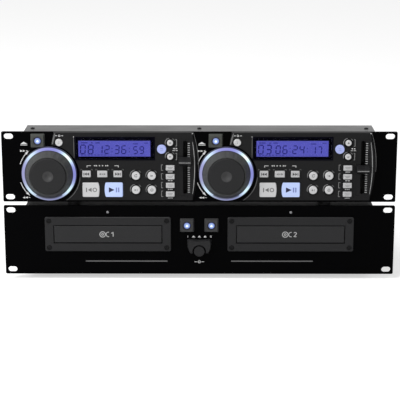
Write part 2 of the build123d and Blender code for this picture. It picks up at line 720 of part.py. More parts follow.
def drive_frame():
    """Loader frame: floor, side walls with rail grooves, bridge with clamp."""
    w, l, h = DRIVE
    front = PANEL_T + DRIVE_START
    low = RAIL_Z - TRAY_T - DRIVE_DROP
    high, floor = low + h, low + DRIVE_FLOOR
    walls = block((-w / 2, w / 2), (front, front + l), (low, high))
    inner = TRAY_W / 2 + GAP
    walls -= block((-inner, inner), (front - 1, front + l + 1), (floor, high + 1))
    groove = TRAY_W / 2 + RAIL_OUT + GAP
    walls -= block((-groove, groove), (front - 1, front + l - 6),
                   (RAIL_Z - RAIL[0] - GAP, RAIL_Z - RAIL[1] + GAP))
    deep, thick = BRIDGE
    walls += block((-w / 2, w / 2), (SEAT_Y - deep / 2, SEAT_Y + deep / 2), (high - thick, high))
    walls += Pos(0, SEAT_Y, high - CLAMP_DROP) * Cylinder(*CLAMP, align=FLAT)
    tip = RAIL_Z - TRAY_T - SPINDLE_DROP
    table_r, table_drop = HUB_TABLE
    hub = Pos(0, SEAT_Y, floor) * Cylinder(table_r, tip - low - table_drop, align=FLAT)
    spindle = Pos(0, SEAT_Y, floor) * Cylinder(SPINDLE_R, tip - floor, align=FLAT)
    sled_w, sled_front, sled_back = SLED
    sled_top = tip - SLED_DROP
    sled = block((-sled_w / 2, sled_w / 2), (SEAT_Y + sled_front, SEAT_Y + sled_back), (floor, sled_top))
    lens_r, lens_h, lens_y = OPTIC
    lens = Pos(0, SEAT_Y + lens_y, sled_top) * Cylinder(lens_r, lens_h, align=FLAT)
    legs = []
    case_floor = FOOT_H + SHEET - BAY_Z
    in_x, in_y = LEG_INSET
    for x in (-1, 1):
        for y in (front + in_y, front + l - in_y):
            leg = Cylinder(LEG_R, low - case_floor, align=FLAT)
            legs.append(Pos(x * (w / 2 - in_x), y, case_floor) * leg)
    return walls + [hub + spindle, sled + lens] + legs


def bezel():
    face = slab(RectangleRounded(*BEZEL, BEZEL_CORNER), -BEZEL_T, 0)
    face = bevel_front(face, 0.7)
    face -= slab(Rectangle(*BAY), -10, 5)
    for x in (-1, 1):
        for z in (-1, 1):
            spot = at(x * BEZEL_SCREWS[0] / 2, z * BEZEL_SCREWS[1] / 2)
            face -= spot * rod(WELL_R, -BEZEL_T - 1, -WELL_FLOOR)
            face -= spot * rod(SHANK_R, -10, 5)
    return face


def power_guard():
    """Shield round the top of the power button, with sloping sides."""
    def outline(inset):
        top, tip = 1.4 - inset, -18.0
        with BuildSketch() as sketch:
            with BuildLine():
                right = (15.1 - inset, -2.2)
                foot = (10.8, tip + 2 * inset)
                ThreePointArc((12.2, top), (14.3 - inset, 0.5 - inset), right)
                ThreePointArc(right, (14.2 - inset, -11.0), foot)
                Line(foot, (-foot[0], foot[1]))
                left = (-right[0], right[1])
                ThreePointArc((-foot[0], foot[1]), (-14.2 + inset, -11.0), left)
                ThreePointArc(left, (-14.3 + inset, 0.5 - inset), (-12.2, top))
                ThreePointArc((-12.2, top), (0, top - 0.9), (12.2, top))
            make_face()
        return sketch.sketch
    shell = tapered(outline(0), outline(1.4), GUARD_PROUD)
    hollow = POWER_Z - TRANSPORT_MID
    shell -= at(0, hollow) * rod(POWER_R + 1.6, -20, 5)
    shell -= at(0, hollow - 15) * slab(Rectangle(13.0, 30.0), -20, 5)
    return at(0, TRANSPORT_MID) * shell


def front_surrounds():
    parts = [power_guard()]
    for side in (-1, 1):
        parts.append(at(side * BAY_X, BAY_Z) * bezel())
        parts.append(at(side * EJECT_X, EJECT_Z) * eject_housing())
        deck = at(side * DECK_X, CONTROL_MID)
        notch = at(JOG_X, JOG_Z) * rod(RING_OUT_R + 0.2, -10, 1)
        parts.append(deck * (at(DECK_EJECT_X, DECK_EJECT_Z) * eject_housing() - notch))
    return group(*parts)


def power_button():
    cap = bevel_front(rod(POWER_R, -POWER_PROUD, PANEL_T + GAP), 0.7)
    lap = 2 * (POWER_R + KEY_LAP)
    back = PANEL_T + GAP
    return at(0, POWER_Z) * (cap + slab(Rectangle(lap, lap), back, back + KEY_FLANGE_T))


# ------------------------------------------------------------ small pieces
def feet():
    foot = Cone(FOOT_R - 1.0, FOOT_R, FOOT_H, align=FLAT)
    spots = [(side * x, y, z) for x, depths, z in FEET for side in (-1, 1) for y in depths]
    return group(*[Pos(*spot) * foot for spot in spots])


def screws():
    """Bezel screws in their wells and the pan-head screws of the covers."""
    parts = []
    head_r, head_h = BEZEL_HEAD
    head = rod(head_r, -WELL_FLOOR - head_h, -WELL_FLOOR)
    shank = rod(SHANK_R, -WELL_FLOOR, PANEL_T + SHEET)
    for side in (-1, 1):
        for x in (-1, 1):
            for z in (-1, 1):
                spot = at(side * BAY_X + x * BEZEL_SCREWS[0] / 2, BAY_Z + z * BEZEL_SCREWS[1] / 2)
                parts.append(spot * (head + shank))
    cap = Cylinder(*COVER_HEAD, align=FLAT)
    for x in COVER_SCREW_X:
        for y, z in zip(COVER_SCREW_Y, (CONTROL_TOP, TRANSPORT_TOP)):
            parts.append(Pos(x, y, z) * cap)
    return group(*parts)


def windows_and_rings():
    """Display windows, jog light rings and the two drive indicators."""
    parts = []
    w, middle = window_size()
    face = -PLATE_T - WINDOW_PROUD
    for side in (-1, 1):
        deck = at(side * DECK_X, CONTROL_MID)
        parts.append(deck * at(*middle) * slab(Rectangle(*w), face, face + WINDOW_T))
        parts.append(deck * at(JOG_X, JOG_Z) * light_ring())
        parts.append(at(side * BAY_X, LED_Z) * rod(LED_R, -LED_PROUD, PANEL_T + 1.5))
    return group(*parts)


# ------------------------------------------------------------------- write
os.makedirs("parts", exist_ok=True)

write("transport_front_panel", transport_panel())
write("transport_chassis", transport_chassis())
write("transport_top_cover", lid(TRANSPORT_BACK, TRANSPORT_TOP))
write("front_surrounds", front_surrounds())
write("disc_drives", group(*[at(side * BAY_X, BAY_Z) * drive_frame() for side in (-1, 1)]))
write("power_supply", power_supply())
write("control_front_panel", control_panel())
write("control_case", control_case())
write("windows_and_light_rings", windows_and_rings())
write("rubber_feet", feet())
write("circuit_boards", circuit_boards())
write("screws", screws())
write("power_button", power_button())

plates = []
for number, side in ((1, -1), (2, 1)):
    deck = at(side * DECK_X, CONTROL_MID)
    keys = deck_keys()
    plates.append(deck * deck_plate(keys))
    for name, ((x, z), outline) in keys.items():
        key = key_cap(outline, flange_for(name, outline))
        write(f"{name}_deck{number}", deck * at(x, z) * key)
    write(f"eject_button_deck{number}", deck * at(DECK_EJECT_X, DECK_EJECT_Z) * eject_lens())
    write(f"shuttle_ring_deck{number}", deck * at(JOG_X, JOG_Z) * shuttle_ring())
    write(f"jog_disc_deck{number}", deck * at(JOG_X, JOG_Z) * jog_disc())
    write(f"pitch_slider_deck{number}", deck * at(FADER_X, FADER_REST[number]) * fader_knob())
    write(f"disc_tray_{number}", at(side * BAY_X, BAY_Z) * disc_tray())
    write(f"eject_button_drive{number}", at(side * EJECT_X, EJECT_Z) * eject_lens())
write("deck_plates", group(*plates))
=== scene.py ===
import math

import bpy
import numpy as np
from mathutils import Euler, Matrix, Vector


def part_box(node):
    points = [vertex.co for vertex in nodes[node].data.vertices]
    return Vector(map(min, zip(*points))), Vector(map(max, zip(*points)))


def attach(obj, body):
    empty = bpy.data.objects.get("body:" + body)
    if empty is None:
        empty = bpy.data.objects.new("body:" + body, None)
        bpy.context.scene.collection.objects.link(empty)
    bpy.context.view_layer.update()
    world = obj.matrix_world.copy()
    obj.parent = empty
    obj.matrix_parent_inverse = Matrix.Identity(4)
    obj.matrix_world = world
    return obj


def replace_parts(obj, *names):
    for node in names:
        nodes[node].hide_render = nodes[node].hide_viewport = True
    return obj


# Twin-deck disc player: a transport unit with two drawers for discs, and a control
# unit with two decks that stands on it. Lengths are in millimetres in the frame of
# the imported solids: X to the right seen from the front, Y to the back, Z up.
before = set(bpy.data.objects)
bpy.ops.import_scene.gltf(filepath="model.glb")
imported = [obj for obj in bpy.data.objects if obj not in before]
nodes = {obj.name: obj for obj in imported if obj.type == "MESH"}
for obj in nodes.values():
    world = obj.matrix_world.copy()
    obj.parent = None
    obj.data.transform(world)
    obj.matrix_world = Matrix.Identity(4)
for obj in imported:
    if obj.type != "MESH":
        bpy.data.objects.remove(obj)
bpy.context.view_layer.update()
MM = 0.001
DECKS = (1, 2)


# ---------------------------------------------------------------- folded cases
# The transport's chassis and the shallow case of the control unit are sheet steel
# 1.2 mm thick, folded and sprayed satin black. The transport's top cover has a rougher
# black powder coat, whose colour and sheen are set darker than the case's as painted shade:
# only a strip of it shows, in the gap under the control unit. The edges of folds and vent
# slots are rounded by paint.
def effect(name, inputs, outputs):
    """An empty group of shader nodes. inputs: name to (socket type, value); outputs: name to type."""
    made = bpy.data.node_groups.new(name, "ShaderNodeTree")
    for label, (kind, value) in inputs.items():
        socket = made.interface.new_socket(label, in_out="INPUT", socket_type="NodeSocket" + kind)
        socket.default_value = value
    for label, kind in outputs.items():
        made.interface.new_socket(label, in_out="OUTPUT", socket_type="NodeSocket" + kind)
    return made, made.nodes.new("NodeGroupInput"), made.nodes.new("NodeGroupOutput")


def node(tree, kind, links=None, **values):
    """Adds a shader node: properties by name, inputs by number or name from sockets or values."""
    made = tree.nodes.new("ShaderNode" + kind)
    for label, value in values.items():
        setattr(made, label, value)
    for label, value in (links or {}).items():
        if isinstance(value, bpy.types.NodeSocket):
            tree.links.new(value, made.inputs[label])
        else:
            made.inputs[label].default_value = value
    return made


def grain_effect():
    """Orange peel or moulded grain: bumps of a given size in metres, and a mask of the high ones."""
    made, given, out = effect(
        "surface_grain",
        {"Size": ("Float", 0.001), "Depth": ("Float", 0.00002), "Hardness": ("Float", 0.5)},
        {"Normal": "Vector", "Mask": "Float"})
    place = node(made, "TexCoord").outputs["Object"]
    scale = node(made, "Math", {0: 1.0, 1: given.outputs["Size"]}, operation="DIVIDE").outputs[0]
    cells = node(made, "TexVoronoi", {"Vector": place, "Scale": scale, "Randomness": 1.0})
    cloud = node(made, "TexNoise", {"Vector": place, "Scale": scale, "Detail": 3.0, "Roughness": 0.6})
    height = node(made, "Mix", {"Factor": given.outputs["Hardness"], "A": cloud.outputs["Fac"],
                                "B": cells.outputs["Distance"]}).outputs[0]
    bump = node(made, "Bump", {"Height": height, "Distance": given.outputs["Depth"]})
    made.links.new(bump.outputs[0], out.inputs["Normal"])
    made.links.new(height, out.inputs["Mask"])
    return made


def handling_effect():
    """Faint marks of cleaning and fingers: slow clouds over the surface, drawn out sideways."""
    made, given, out = effect(
        "handling_marks",
        {"Size": ("Float", 0.03), "Low": ("Float", 0.3), "High": ("Float", 0.4)},
        {"Value": "Float"})
    place = node(made, "TexCoord").outputs["Object"]
    long = node(made, "Mapping", {"Vector": place, "Scale": (0.5, 1.0, 1.6)}).outputs[0]
    scale = node(made, "Math", {0: 1.0, 1: given.outputs["Size"]}, operation="DIVIDE").outputs[0]
    cloud = node(made, "TexNoise", {"Vector": long, "Scale": scale, "Detail": 6.0, "Roughness": 0.65})
    value = node(made, "MapRange", {"Value": cloud.outputs["Fac"], "From Min": 0.35, "From Max": 0.65,
                                    "To Min": given.outputs["Low"], "To Max": given.outputs["High"]})
    made.links.new(value.outputs[0], out.inputs["Value"])
    return made


GRAIN = grain_effect()
HANDLING = handling_effect()
SAME_POINT = 1e-6
SHARP = 40


def finish(name, colour, rough, grain, specks=0.0, **sockets):
    """A finish with grain and handling marks. rough is (low, high), grain is (size, depth, hardness)."""
    made = bpy.data.materials.new(name)
    made.use_nodes = True
    tree = made.node_tree
    shader = tree.nodes["Principled BSDF"]
    shader.inputs["Base Color"].default_value = (*colour, 1.0)
    for label, value in sockets.items():
        shader.inputs[label.replace("_", " ")].default_value = value
    bumps = node(tree, "Group", node_tree=GRAIN)
    for label, value in zip(("Size", "Depth", "Hardness"), grain):
        bumps.inputs[label].default_value = value
    tree.links.new(bumps.outputs["Normal"], shader.inputs["Normal"])
    marks = node(tree, "Group", node_tree=HANDLING)
    marks.inputs["Low"].default_value, marks.inputs["High"].default_value = rough
    tree.links.new(marks.outputs["Value"], shader.inputs["Roughness"])
    if specks:
        light = [min(1.0, c * (1 + specks)) for c in colour]
        dark = [c * (1 - specks) for c in colour]
        tone = node(tree, "Mix", {"Factor": bumps.outputs["Mask"], "A": (*dark, 1.0), "B": (*light, 1.0)},
                    data_type="RGBA")
        tree.links.new(tone.outputs["Result"], shader.inputs["Base Color"])
    return made


def dress(name, material, edge=0.0, steps=2):
    """Gives a CAD node its material, joins its triangles and rounds its edges by edge millimetres."""
    solid = nodes[name]
    solid.data.materials.clear()
    solid.data.materials.append(material)
    if edge:
        solid.modifiers.new("join", "WELD").merge_threshold = SAME_POINT
        soften = solid.modifiers.new("soften", "BEVEL")
        soften.width = edge * MM
        soften.segments = steps
        soften.limit_method = "ANGLE"
        soften.angle_limit = math.radians(SHARP)
        soften.harden_normals = True
    return solid


case_paint = finish("satin_black_paint", (0.013, 0.013, 0.0135), (0.30, 0.38), (0.0011, 0.000012, 0.2))
# Painted shade: the top cover is darker and less shiny than the case, for the shade under the control unit.
cover_coat_with_painted_shade = finish("rough_black_coat_painted_shade", (0.005, 0.005, 0.0055), (0.5, 0.62), (0.0008, 0.00003, 0.6),
                    specks=0.3, Specular_IOR_Level=0.1)
# The chassis and the case have bores beside long thin triangles, which a wider rounding
# would fold over.
dress("transport_chassis", case_paint, 0.05)
dress("control_case", case_paint, 0.12)
dress("transport_top_cover", cover_coat_with_painted_shade, 0.3)


# ------------------------------------------------------------------------ feet
# Turned feet of black rubber, pressed into the base of each unit. Rubber is matt and
# carries a fine moulded grain and a little pale dust.
rubber = finish("foot_rubber", (0.018, 0.018, 0.019), (0.75, 0.9), (0.0005, 0.00004, 0.6), specks=0.5,
                Specular_IOR_Level=0.3)
dress("rubber_feet", rubber, 0.6, 3)


# ---------------------------------------------------------------- power supply
# The mains inlet, its three plated pins, a board and a laminated transformer. Pins and
# core are bare metal, the inlet is glossy black moulding, so the finish changes along Y.
def banded(name, bands, rough, grain, **sockets):
    """A finish in bands along one axis of the object.

    bands are (axis, start in metres, width of the change, colour, metallic): past its start
    each band covers those before it, faded in over its width.
    """
    made = finish(name, bands[0][3], rough, grain, **sockets)
    tree = made.node_tree
    shader = tree.nodes["Principled BSDF"]
    place = node(tree, "SeparateXYZ", {0: node(tree, "TexCoord").outputs["Object"]})
    colour, metal = (*bands[0][3], 1.0), bands[0][4]
    for axis, start, width, band_colour, band_metal in bands[1:]:
        share = node(tree, "MapRange", {"Value": place.outputs[axis], "From Min": start,
                                        "From Max": start + width}).outputs[0]
        colour = node(tree, "Mix", {"Factor": share, "A": colour, "B": (*band_colour, 1.0)},
                      data_type="RGBA").outputs["Result"]
        metal = node(tree, "Mix", {"Factor": share, "A": metal, "B": band_metal}).outputs[0]
    tree.links.new(colour, shader.inputs["Base Color"])
    tree.links.new(metal, shader.inputs["Metallic"])
    return made


supply_finish = banded(
    "supply_board_core_and_inlet",
    [("Z", 0.0, 0.0, (0.02, 0.10, 0.04), 0.0), ("Z", 0.0146, 0.0004, (0.17, 0.16, 0.15), 0.7),
     ("Y", 0.1065, 0.001, (0.012, 0.012, 0.013), 0.0)],
    (0.3, 0.45), (0.0009, 0.00001, 0.4))
dress("power_supply", supply_finish, 0.25)


# ----------------------------------------------------------------- disc drives
# Each drive is a grey moulded frame with a clamp bridge, a hub and a reading lens. Its
# drawer is smoother charcoal plastic, with a dark door that closes the bay in the panel.
drive_plastic = finish("drive_frame_plastic", (0.045, 0.045, 0.048), (0.4, 0.55), (0.0007, 0.00003, 0.5),
                       specks=0.3)
tray_plastic = finish("tray_plastic", (0.0150, 0.0150, 0.0160), (0.36, 0.48), (0.0008, 0.000012, 0.5),
                      specks=0.15, Specular_IOR_Level=0.32)
dress("disc_drives", drive_plastic, 0.3)
for number in (1, 2):
    dress(f"disc_tray_{number}", tray_plastic, 0.25)


# -------------------------------------------------------------- circuit boards
# Green glass-fibre boards with their switches, tracks and spacers. The sockets that
# stand out behind both cases are soldered to them: plated collars round dark inserts.
SWITCH_BLACK, BOARD_GREEN, PLATED = (0.008, 0.008, 0.008), (0.015, 0.085, 0.035), (0.55, 0.54, 0.52)
board_finish = banded(
    "boards_and_sockets",
    [("Y", 0.0, 0.0, SWITCH_BLACK, 0.0), ("Y", -0.1119, 0.0001, BOARD_GREEN, 0.0),
     ("Y", -0.1081, 0.0001, PLATED, 0.9), ("Y", -0.1, 0.0001, BOARD_GREEN, 0.0),
     ("Y", -0.0762, 0.0002, PLATED, 0.9), ("Y", 0.0, 0.001, BOARD_GREEN, 0.0),
     ("Y", 0.1268, 0.0004, PLATED, 0.9)],
    (0.25, 0.4), (0.0006, 0.00001, 0.4), Specular_IOR_Level=0.1)
dress("circuit_boards", board_finish, 0.15)


def piece(name, points, faces, material, body, slot):
    """A finished piece from its points in millimetres, already in place, that moves with a body."""
    mesh = bpy.data.meshes.new(name)
    mesh.from_pydata((np.asarray(points) * MM).tolist(), [], faces)
    mesh.materials.append(material)
    made = bpy.data.objects.new(name, mesh)
    bpy.context.scene.collection.objects.link(made)
    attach(made, body)
    return made


def softened(corners, radius, steps=3):
    """A closed outline with rounded corners.

    Each corner becomes a curve from a point on one side to a point on the other: the mean
    of the first point, the corner and the last point, weighted (1-t)^2, 2t(1-t) and t^2.
    """
    corners = np.array(corners, float)
    curve = 0.0
    t = np.linspace(0, 1, steps + 1)[:, None, None]
    for weight, shift in (((1 - t)**2, 1), (t**2, -1)):
        side = np.roll(corners, shift, 0) - corners
        length = np.linalg.norm(side, axis=1, keepdims=True)
        curve = curve + weight * (corners + side / length * np.minimum(radius, 0.48 * length))
    curve = curve + 2 * t * (1 - t) * corners
    return curve.transpose(1, 0, 2).reshape(-1, 2)


def turned(radii, heights, spot, axis="front", closed=True):
    """A round piece: rings about an axis through spot, as (points, faces) with faces outwards.

    Ring k has radius radii[k], a number or one value per angle, and lies heights[k] along
    the axis. "front" has the axis along Y, "up" along Z. A closed profile joins its last
    ring to its first, an open one is closed by flat ends.
    """
    radii = np.array(radii, float)
    count = radii.shape[1]
    angle = np.arange(count) * 2 * math.pi / count
    across, along = radii * np.cos(angle), radii * np.sin(angle)
    height = np.broadcast_to(np.reshape(heights, (-1, 1)), radii.shape)
    order = (across, height, along) if axis == "front" else (across, along, height)
    points = (np.stack(order, -1) + np.array(spot)).reshape(-1, 3)
    rings = len(radii)
    here = np.arange(rings if closed else rings - 1)[:, None] * count
    there = (np.arange(len(here))[:, None] + 1) % rings * count
    now, then = np.arange(count)[None], (np.arange(count)[None] + 1) % count
    quads = np.stack([here + now, here + then, there + then, there + now], -1).reshape(-1, 4)
    a, b, c, d = (points[quads[:, k]] - np.array(spot) for k in range(4))
    volume = (a * (np.cross(b, c) + np.cross(c, d))).sum()
    faces = quads.tolist()
    if not closed:
        ends = np.array(spot) + np.zeros((2, 3))
        ends[:, 1 if axis == "front" else 2] += np.array([heights[0], heights[-1]], float)
        tip = len(points)
        points = np.concatenate([points, ends])
        last = (rings - 1) * count
        fan = np.stack([np.full(count, tip), then[0], now[0]], -1)
        far = np.stack([np.full(count, tip + 1), last + now[0], last + then[0]], -1)
        triangles = np.concatenate([fan, far])
        a, b, c = (points[triangles[:, k]] - np.array(spot) for k in range(3))
        volume += (a * np.cross(b, c)).sum()
        faces += triangles.tolist()
    if volume < 0:
        faces = [face[::-1] for face in faces]
    return points, faces


def joined(shapes):
    """Several (points, faces) as one."""
    points, faces, start = [], [], 0
    for some_points, some_faces in shapes:
        points.append(some_points)
        faces += [[start + index for index in face] for face in some_faces]
        start += len(some_points)
    return np.concatenate(points), faces


def full(radii, count=48):
    """Radii that are the same all round, one row for each ring."""
    return np.repeat(np.array(radii, float)[:, None], count, 1)


def smooth(made):
    """Shades gentle edges smooth and keeps sharp ones."""
    made.data.shade_smooth()
    made.data.set_sharp_from_angle(angle=math.radians(SHARP))
    return made


# Phono sockets in pairs, red below white as on any such player, with an insert that
# leaves the bore for the plug's pin, and black inserts in the round link sockets.
PHONO_BACK = 138.25
LINK_BACK = 132.25
CONTROL_LINK_BACK = -69.25
PHONO_X, PHONO_Z = (-30.0, 0.0, 60.0, 90.0), {"red": 32.0, "white": 50.0}
LINKS = ((137.0, LINK_BACK, 32.0), (163.0, LINK_BACK, 32.0),
         (-30.0, CONTROL_LINK_BACK, 125.8), (30.0, CONTROL_LINK_BACK, 125.8))
PIN_CIRCLE, PIN_TURNS = 2.6, (30, 90, 150, 210, 330)
INSERT_COLOURS = {"white": (0.75, 0.74, 0.71), "red": (0.5, 0.012, 0.012), "black": (0.012, 0.012, 0.012)}
inserts = {label: finish(f"socket_{label}", colour, (0.3, 0.4), (0.0006, 0.000006, 0.4))
           for label, colour in INSERT_COLOURS.items()}
insert_ring = softened([(1.75, -0.6), (3.2, -0.6), (3.2, 0.25), (1.75, 0.25)], 0.2)
for label, z in PHONO_Z.items():
    rings = [turned(full(insert_ring[:, 0], 40), insert_ring[:, 1], (x, PHONO_BACK, z)) for x in PHONO_X]
    smooth(piece(f"phono_inserts_{label}", *joined(rings), inserts[label], "housing", "clear_plastic"))
link_face = softened([(0.3, -2.0), (4.5, -2.0), (4.5, -1.2), (0.3, -1.2)], 0.25)
pin_end = softened([(0.05, -2.0), (0.45, -2.0), (0.45, -0.5), (0.05, -0.5)], 0.15)
faces, pins = [], []
for x, y, z in LINKS:
    faces.append(turned(full(link_face[:, 0], 48), link_face[:, 1], (x, y, z)))
    for turn in np.radians(PIN_TURNS):
        spot = (x + PIN_CIRCLE * math.cos(turn), y, z + PIN_CIRCLE * math.sin(turn))
        pins.append(turned(full(pin_end[:, 0], 12), pin_end[:, 1], spot))
plating = finish("nickel_plating", (0.6, 0.59, 0.57), (0.2, 0.3), (0.0005, 0.000004, 0.3), Metallic=1.0)
smooth(piece("link_inserts", *joined(faces), inserts["black"], "housing", "clear_plastic"))
smooth(piece("link_pins", *joined(pins), plating, "housing", "transformer_steel"))


# ---------------------------------------------------------------- front panels
# Both panels are flat aluminium 2.5 mm thick for a 19-inch rack, punched with four
# slots and powder coated black. White and silver marks are screen-printed on them.
panel_coat = finish("panel_powder_coat", (0.0009, 0.0009, 0.0011), (0.40, 0.5), (0.0009, 0.000014, 0.3),
                    Specular_IOR_Level=0.022)
dress("transport_front_panel", panel_coat, 0.3)
dress("control_front_panel", panel_coat, 0.3)


def middle_of(name):
    """Middle of a node's box in X and Z, and the Y of its front, in millimetres."""
    low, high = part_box(name)
    return (low.x + high.x) / 2 / MM, (low.z + high.z) / 2 / MM, low.y / MM


TRANSPORT_MID = middle_of("transport_front_panel")[1]
CONTROL_MID, PANEL_FACE = middle_of("control_front_panel")[1:]
INK = 0.04
POINT = 0.02
DECK_MID = {1: (-108.5, CONTROL_MID), 2: (108.5, CONTROL_MID)}


def strokes(lines, surface, proud=INK, sink=0.0):
    """Ink on a surface that faces the front, as (points, faces).

    Each line is a middle line in X and Z with half its width at each point. Its edges lie
    that far to each side, square to the line, and it stands proud of the surface. A line
    that ends where it starts is joined up.
    """
    shapes = []
    for middle, half in lines:
        middle = np.array(middle, float)
        half = np.broadcast_to(half, len(middle)).reshape(-1, 1)
        ring = np.allclose(middle[0], middle[-1])
        if ring:
            middle, half = middle[:-1], half[:-1]
            along = np.roll(middle, -1, 0) - np.roll(middle, 1, 0)
        else:
            along = np.gradient(middle, axis=0)
        along = along / np.linalg.norm(along, axis=1, keepdims=True)
        out = np.stack([-along[:, 1], along[:, 0]], 1) * half
        edge = np.stack([middle + out, middle + out, middle - out, middle - out], 1)
        depth = np.array([sink, -proud, -proud, sink]) + surface
        points = np.stack([edge[..., 0], np.broadcast_to(depth, edge.shape[:2]), edge[..., 1]], -1)
        count = len(middle)
        here = 4 * np.arange(count if ring else count - 1)[:, None]
        there = (here + 4) % (4 * count)
        now, then = np.arange(4)[None], (np.arange(4)[None] + 1) % 4
        faces = np.stack([here + now, here + then, there + then, there + now], -1).reshape(-1, 4).tolist()
        if not ring:
            last = 4 * (count - 1)
            faces += [[3, 2, 1, 0], [last, last + 1, last + 2, last + 3]]
        shapes.append((points.reshape(-1, 3), faces))
    return joined(shapes)


def bar(x, z, width, height):
    """A filled rectangle about its middle."""
    return [([(x - width / 2, z), (x + width / 2, z)], height / 2)]


def triangle(x, z, width, height):
    """A filled triangle that points right, or left where the width is negative."""
    return [([(x - width / 2, z), (x + width / 2, z)], (height / 2, POINT))]


def triangle_up(x, z, width, height):
    """A filled triangle that points up."""
    return [([(x, z - height / 2), (x, z + height / 2)], (width / 2, POINT))]


def arc(x, z, radius, start, end, half, count=24):
    """Part of a circle between two angles in degrees. half may change along it."""
    angle = np.radians(np.linspace(start, end, count))
    middle = np.stack([x + radius * np.cos(angle), z + radius * np.sin(angle)], 1)
    if np.ndim(half):
        half = np.interp(np.linspace(0, 1, count), np.linspace(0, 1, len(half)), half)
    return [(middle, half)]


def corner_marks(x, z, width, height, length, thick):
    """Two marks at the upper corners of a rectangle, each a level and an upright bar."""
    lines = []
    for side in (-1, 1):
        edge = x + side * width / 2
        lines += bar(edge - side * (length + thick) / 2, z + height / 2, length, thick)
        lines += bar(edge, z + (height - length + thick) / 2, thick, length)
    return lines


def eject_sign(x, z, width, height):
    """A triangle that points up, 0.64 of the height, over a bar of 0.16 of it."""
    over = triangle_up(x, z + height * 0.18, width, height * 0.64)
    return over + bar(x, z - height * 0.42, width, height * 0.16)


def segments(x, z, digits, height, width, thick, step, lean):
    """Numerals of seven bars with pointed ends, step apart. x, z is the middle of the first one.

    lean is how far a numeral shifts to the right for each millimetre of height.
    """
    h, w = height / 2, width / 2
    gap, tip = thick * 0.16, thick * 0.08
    places = {"a": (0, h, 0), "g": (0, 0, 0), "d": (0, -h, 0), "f": (-w, h / 2, 1), "b": (w, h / 2, 1),
              "e": (-w, -h / 2, 1), "c": (w, -h / 2, 1)}
    lit_bars = {"0": "abcdef", "1": "bc", "2": "abged", "3": "abgcd", "4": "fgbc", "5": "afgcd",
                "6": "afgedc", "7": "abc", "8": "abcdefg", "9": "abfgcd"}
    lines = []
    for index, digit in enumerate(digits):
        for label in lit_bars[digit]:
            dx, dz, upright = places[label]
            reach = (h / 2 if upright else w) - gap
            run = np.array([-reach, thick / 2 - reach, reach - thick / 2, reach])
            middle = np.stack([np.full(4, dx), dz + run] if upright else [dx + run, np.full(4, dz)], 1)
            middle[:, 0] += x + index * step + lean * middle[:, 1]
            middle[:, 1] += z
            lines.append((middle, (tip, thick / 2, thick / 2, tip)))
    return lines


def ink(name, tone, specks=0.06):
    """Matt ink with a trace of the printing screen's mesh. tone is a grey or a colour."""
    colour = (tone, tone, tone) if isinstance(tone, float) else tone
    return finish(name, colour, (0.5, 0.6), (0.0004, 0.000003, 0.4), specks=specks)


def printed(name, marks, place, surface, material, body="housing", slot="key_white", proud=INK, sink=0.0):
    """A finished piece of marks drawn about place in X and Z, on a surface that faces the front."""
    lines = [(np.array(middle, float) + place, half) for middle, half in marks]
    return piece(name, *strokes(lines, surface, proud, sink), material, body, slot)


white_ink = ink("white_ink", 0.72)
silver_ink = finish("silver_ink", (0.11, 0.11, 0.11), (0.4, 0.5), (0.0004, 0.000003, 0.4), specks=0.1)

# Beside each wheel: an eject sign, search signs with plus and minus, and two arcs that
# end in arrow heads.
JOG_X, JOG_Z = -75.3, -8.2
ARC_R = 37.2
FORWARD_Z, BACK_Z = 20.0, -38.8
ARROW = (3.0, 2.6)
ARC_TURNS = ((162, 139, 131), (198, 221, 229))
marks = eject_sign(-105.4, 29.2, 8.6, 4.4)
marks += triangle(-108.6, FORWARD_Z, *ARROW) + triangle(-105.4, FORWARD_Z, *ARROW)
marks += bar(-101.9, FORWARD_Z, 2.2, 0.6)
marks += bar(-101.9, FORWARD_Z + 0.5, 0.6, 0.4) + bar(-101.9, FORWARD_Z - 0.5, 0.6, 0.4)
marks += triangle(-104.0, BACK_Z, -ARROW[0], ARROW[1]) + triangle(-107.2, BACK_Z, -ARROW[0], ARROW[1])
marks += bar(-100.6, BACK_Z, 2.2, 0.6)
for start, neck, end in ARC_TURNS:
    marks += arc(JOG_X, JOG_Z, ARC_R, start, neck, 0.42)
    marks += arc(JOG_X, JOG_Z, ARC_R, neck, end, (1.5, 0.05), 8)
for number in DECKS:
    printed(f"panel_print_deck{number}", marks, DECK_MID[number], PANEL_FACE, white_ink)

LINE_Z, LINE_X, LINE_THICK = -27.5, (39.6, 141.3), 1.5
line_middle, line_long = sum(LINE_X) / 2, LINE_X[1] - LINE_X[0]
marks = bar(-line_middle, LINE_Z, line_long, LINE_THICK) + bar(line_middle, LINE_Z, line_long, LINE_THICK)
printed("silver_lines", marks, (0, TRANSPORT_MID), PANEL_FACE, silver_ink)

# On the transport's middle: a row of signs, and lower down a power sign between dashes.
ROW_Z, POWER_Z = 4.3, -28.4
marks = bar(-14.2, ROW_Z, 0.6, 2.4) + bar(13.6, ROW_Z, 0.6, 2.4) + bar(14.8, ROW_Z, 0.6, 2.4)
for x in (-7.2, 0.0, 7.2):
    marks += eject_sign(x, ROW_Z, 3.6, 2.6)
marks += arc(0, POWER_Z, 1.5, 120, 420, 0.28) + bar(0, POWER_Z + 1.5, 0.5, 1.7)
marks += bar(-4.4, POWER_Z, 3.2, 0.6) + bar(4.4, POWER_Z, 3.2, 0.6)
printed("transport_print", marks, (0, TRANSPORT_MID), PANEL_FACE, white_ink)


# ----------------------------------------------------- bezels, shield, housings
# Grained charcoal mouldings behind which nothing moves: a bezel round each drawer, the
# shield round the power button, and the square housings of the lit eject buttons.
DRIVE_HOUSINGS_X, DRIVE_HOUSINGS_Z, DECK_HOUSINGS_Z = 0.03, 0.059, 0.1


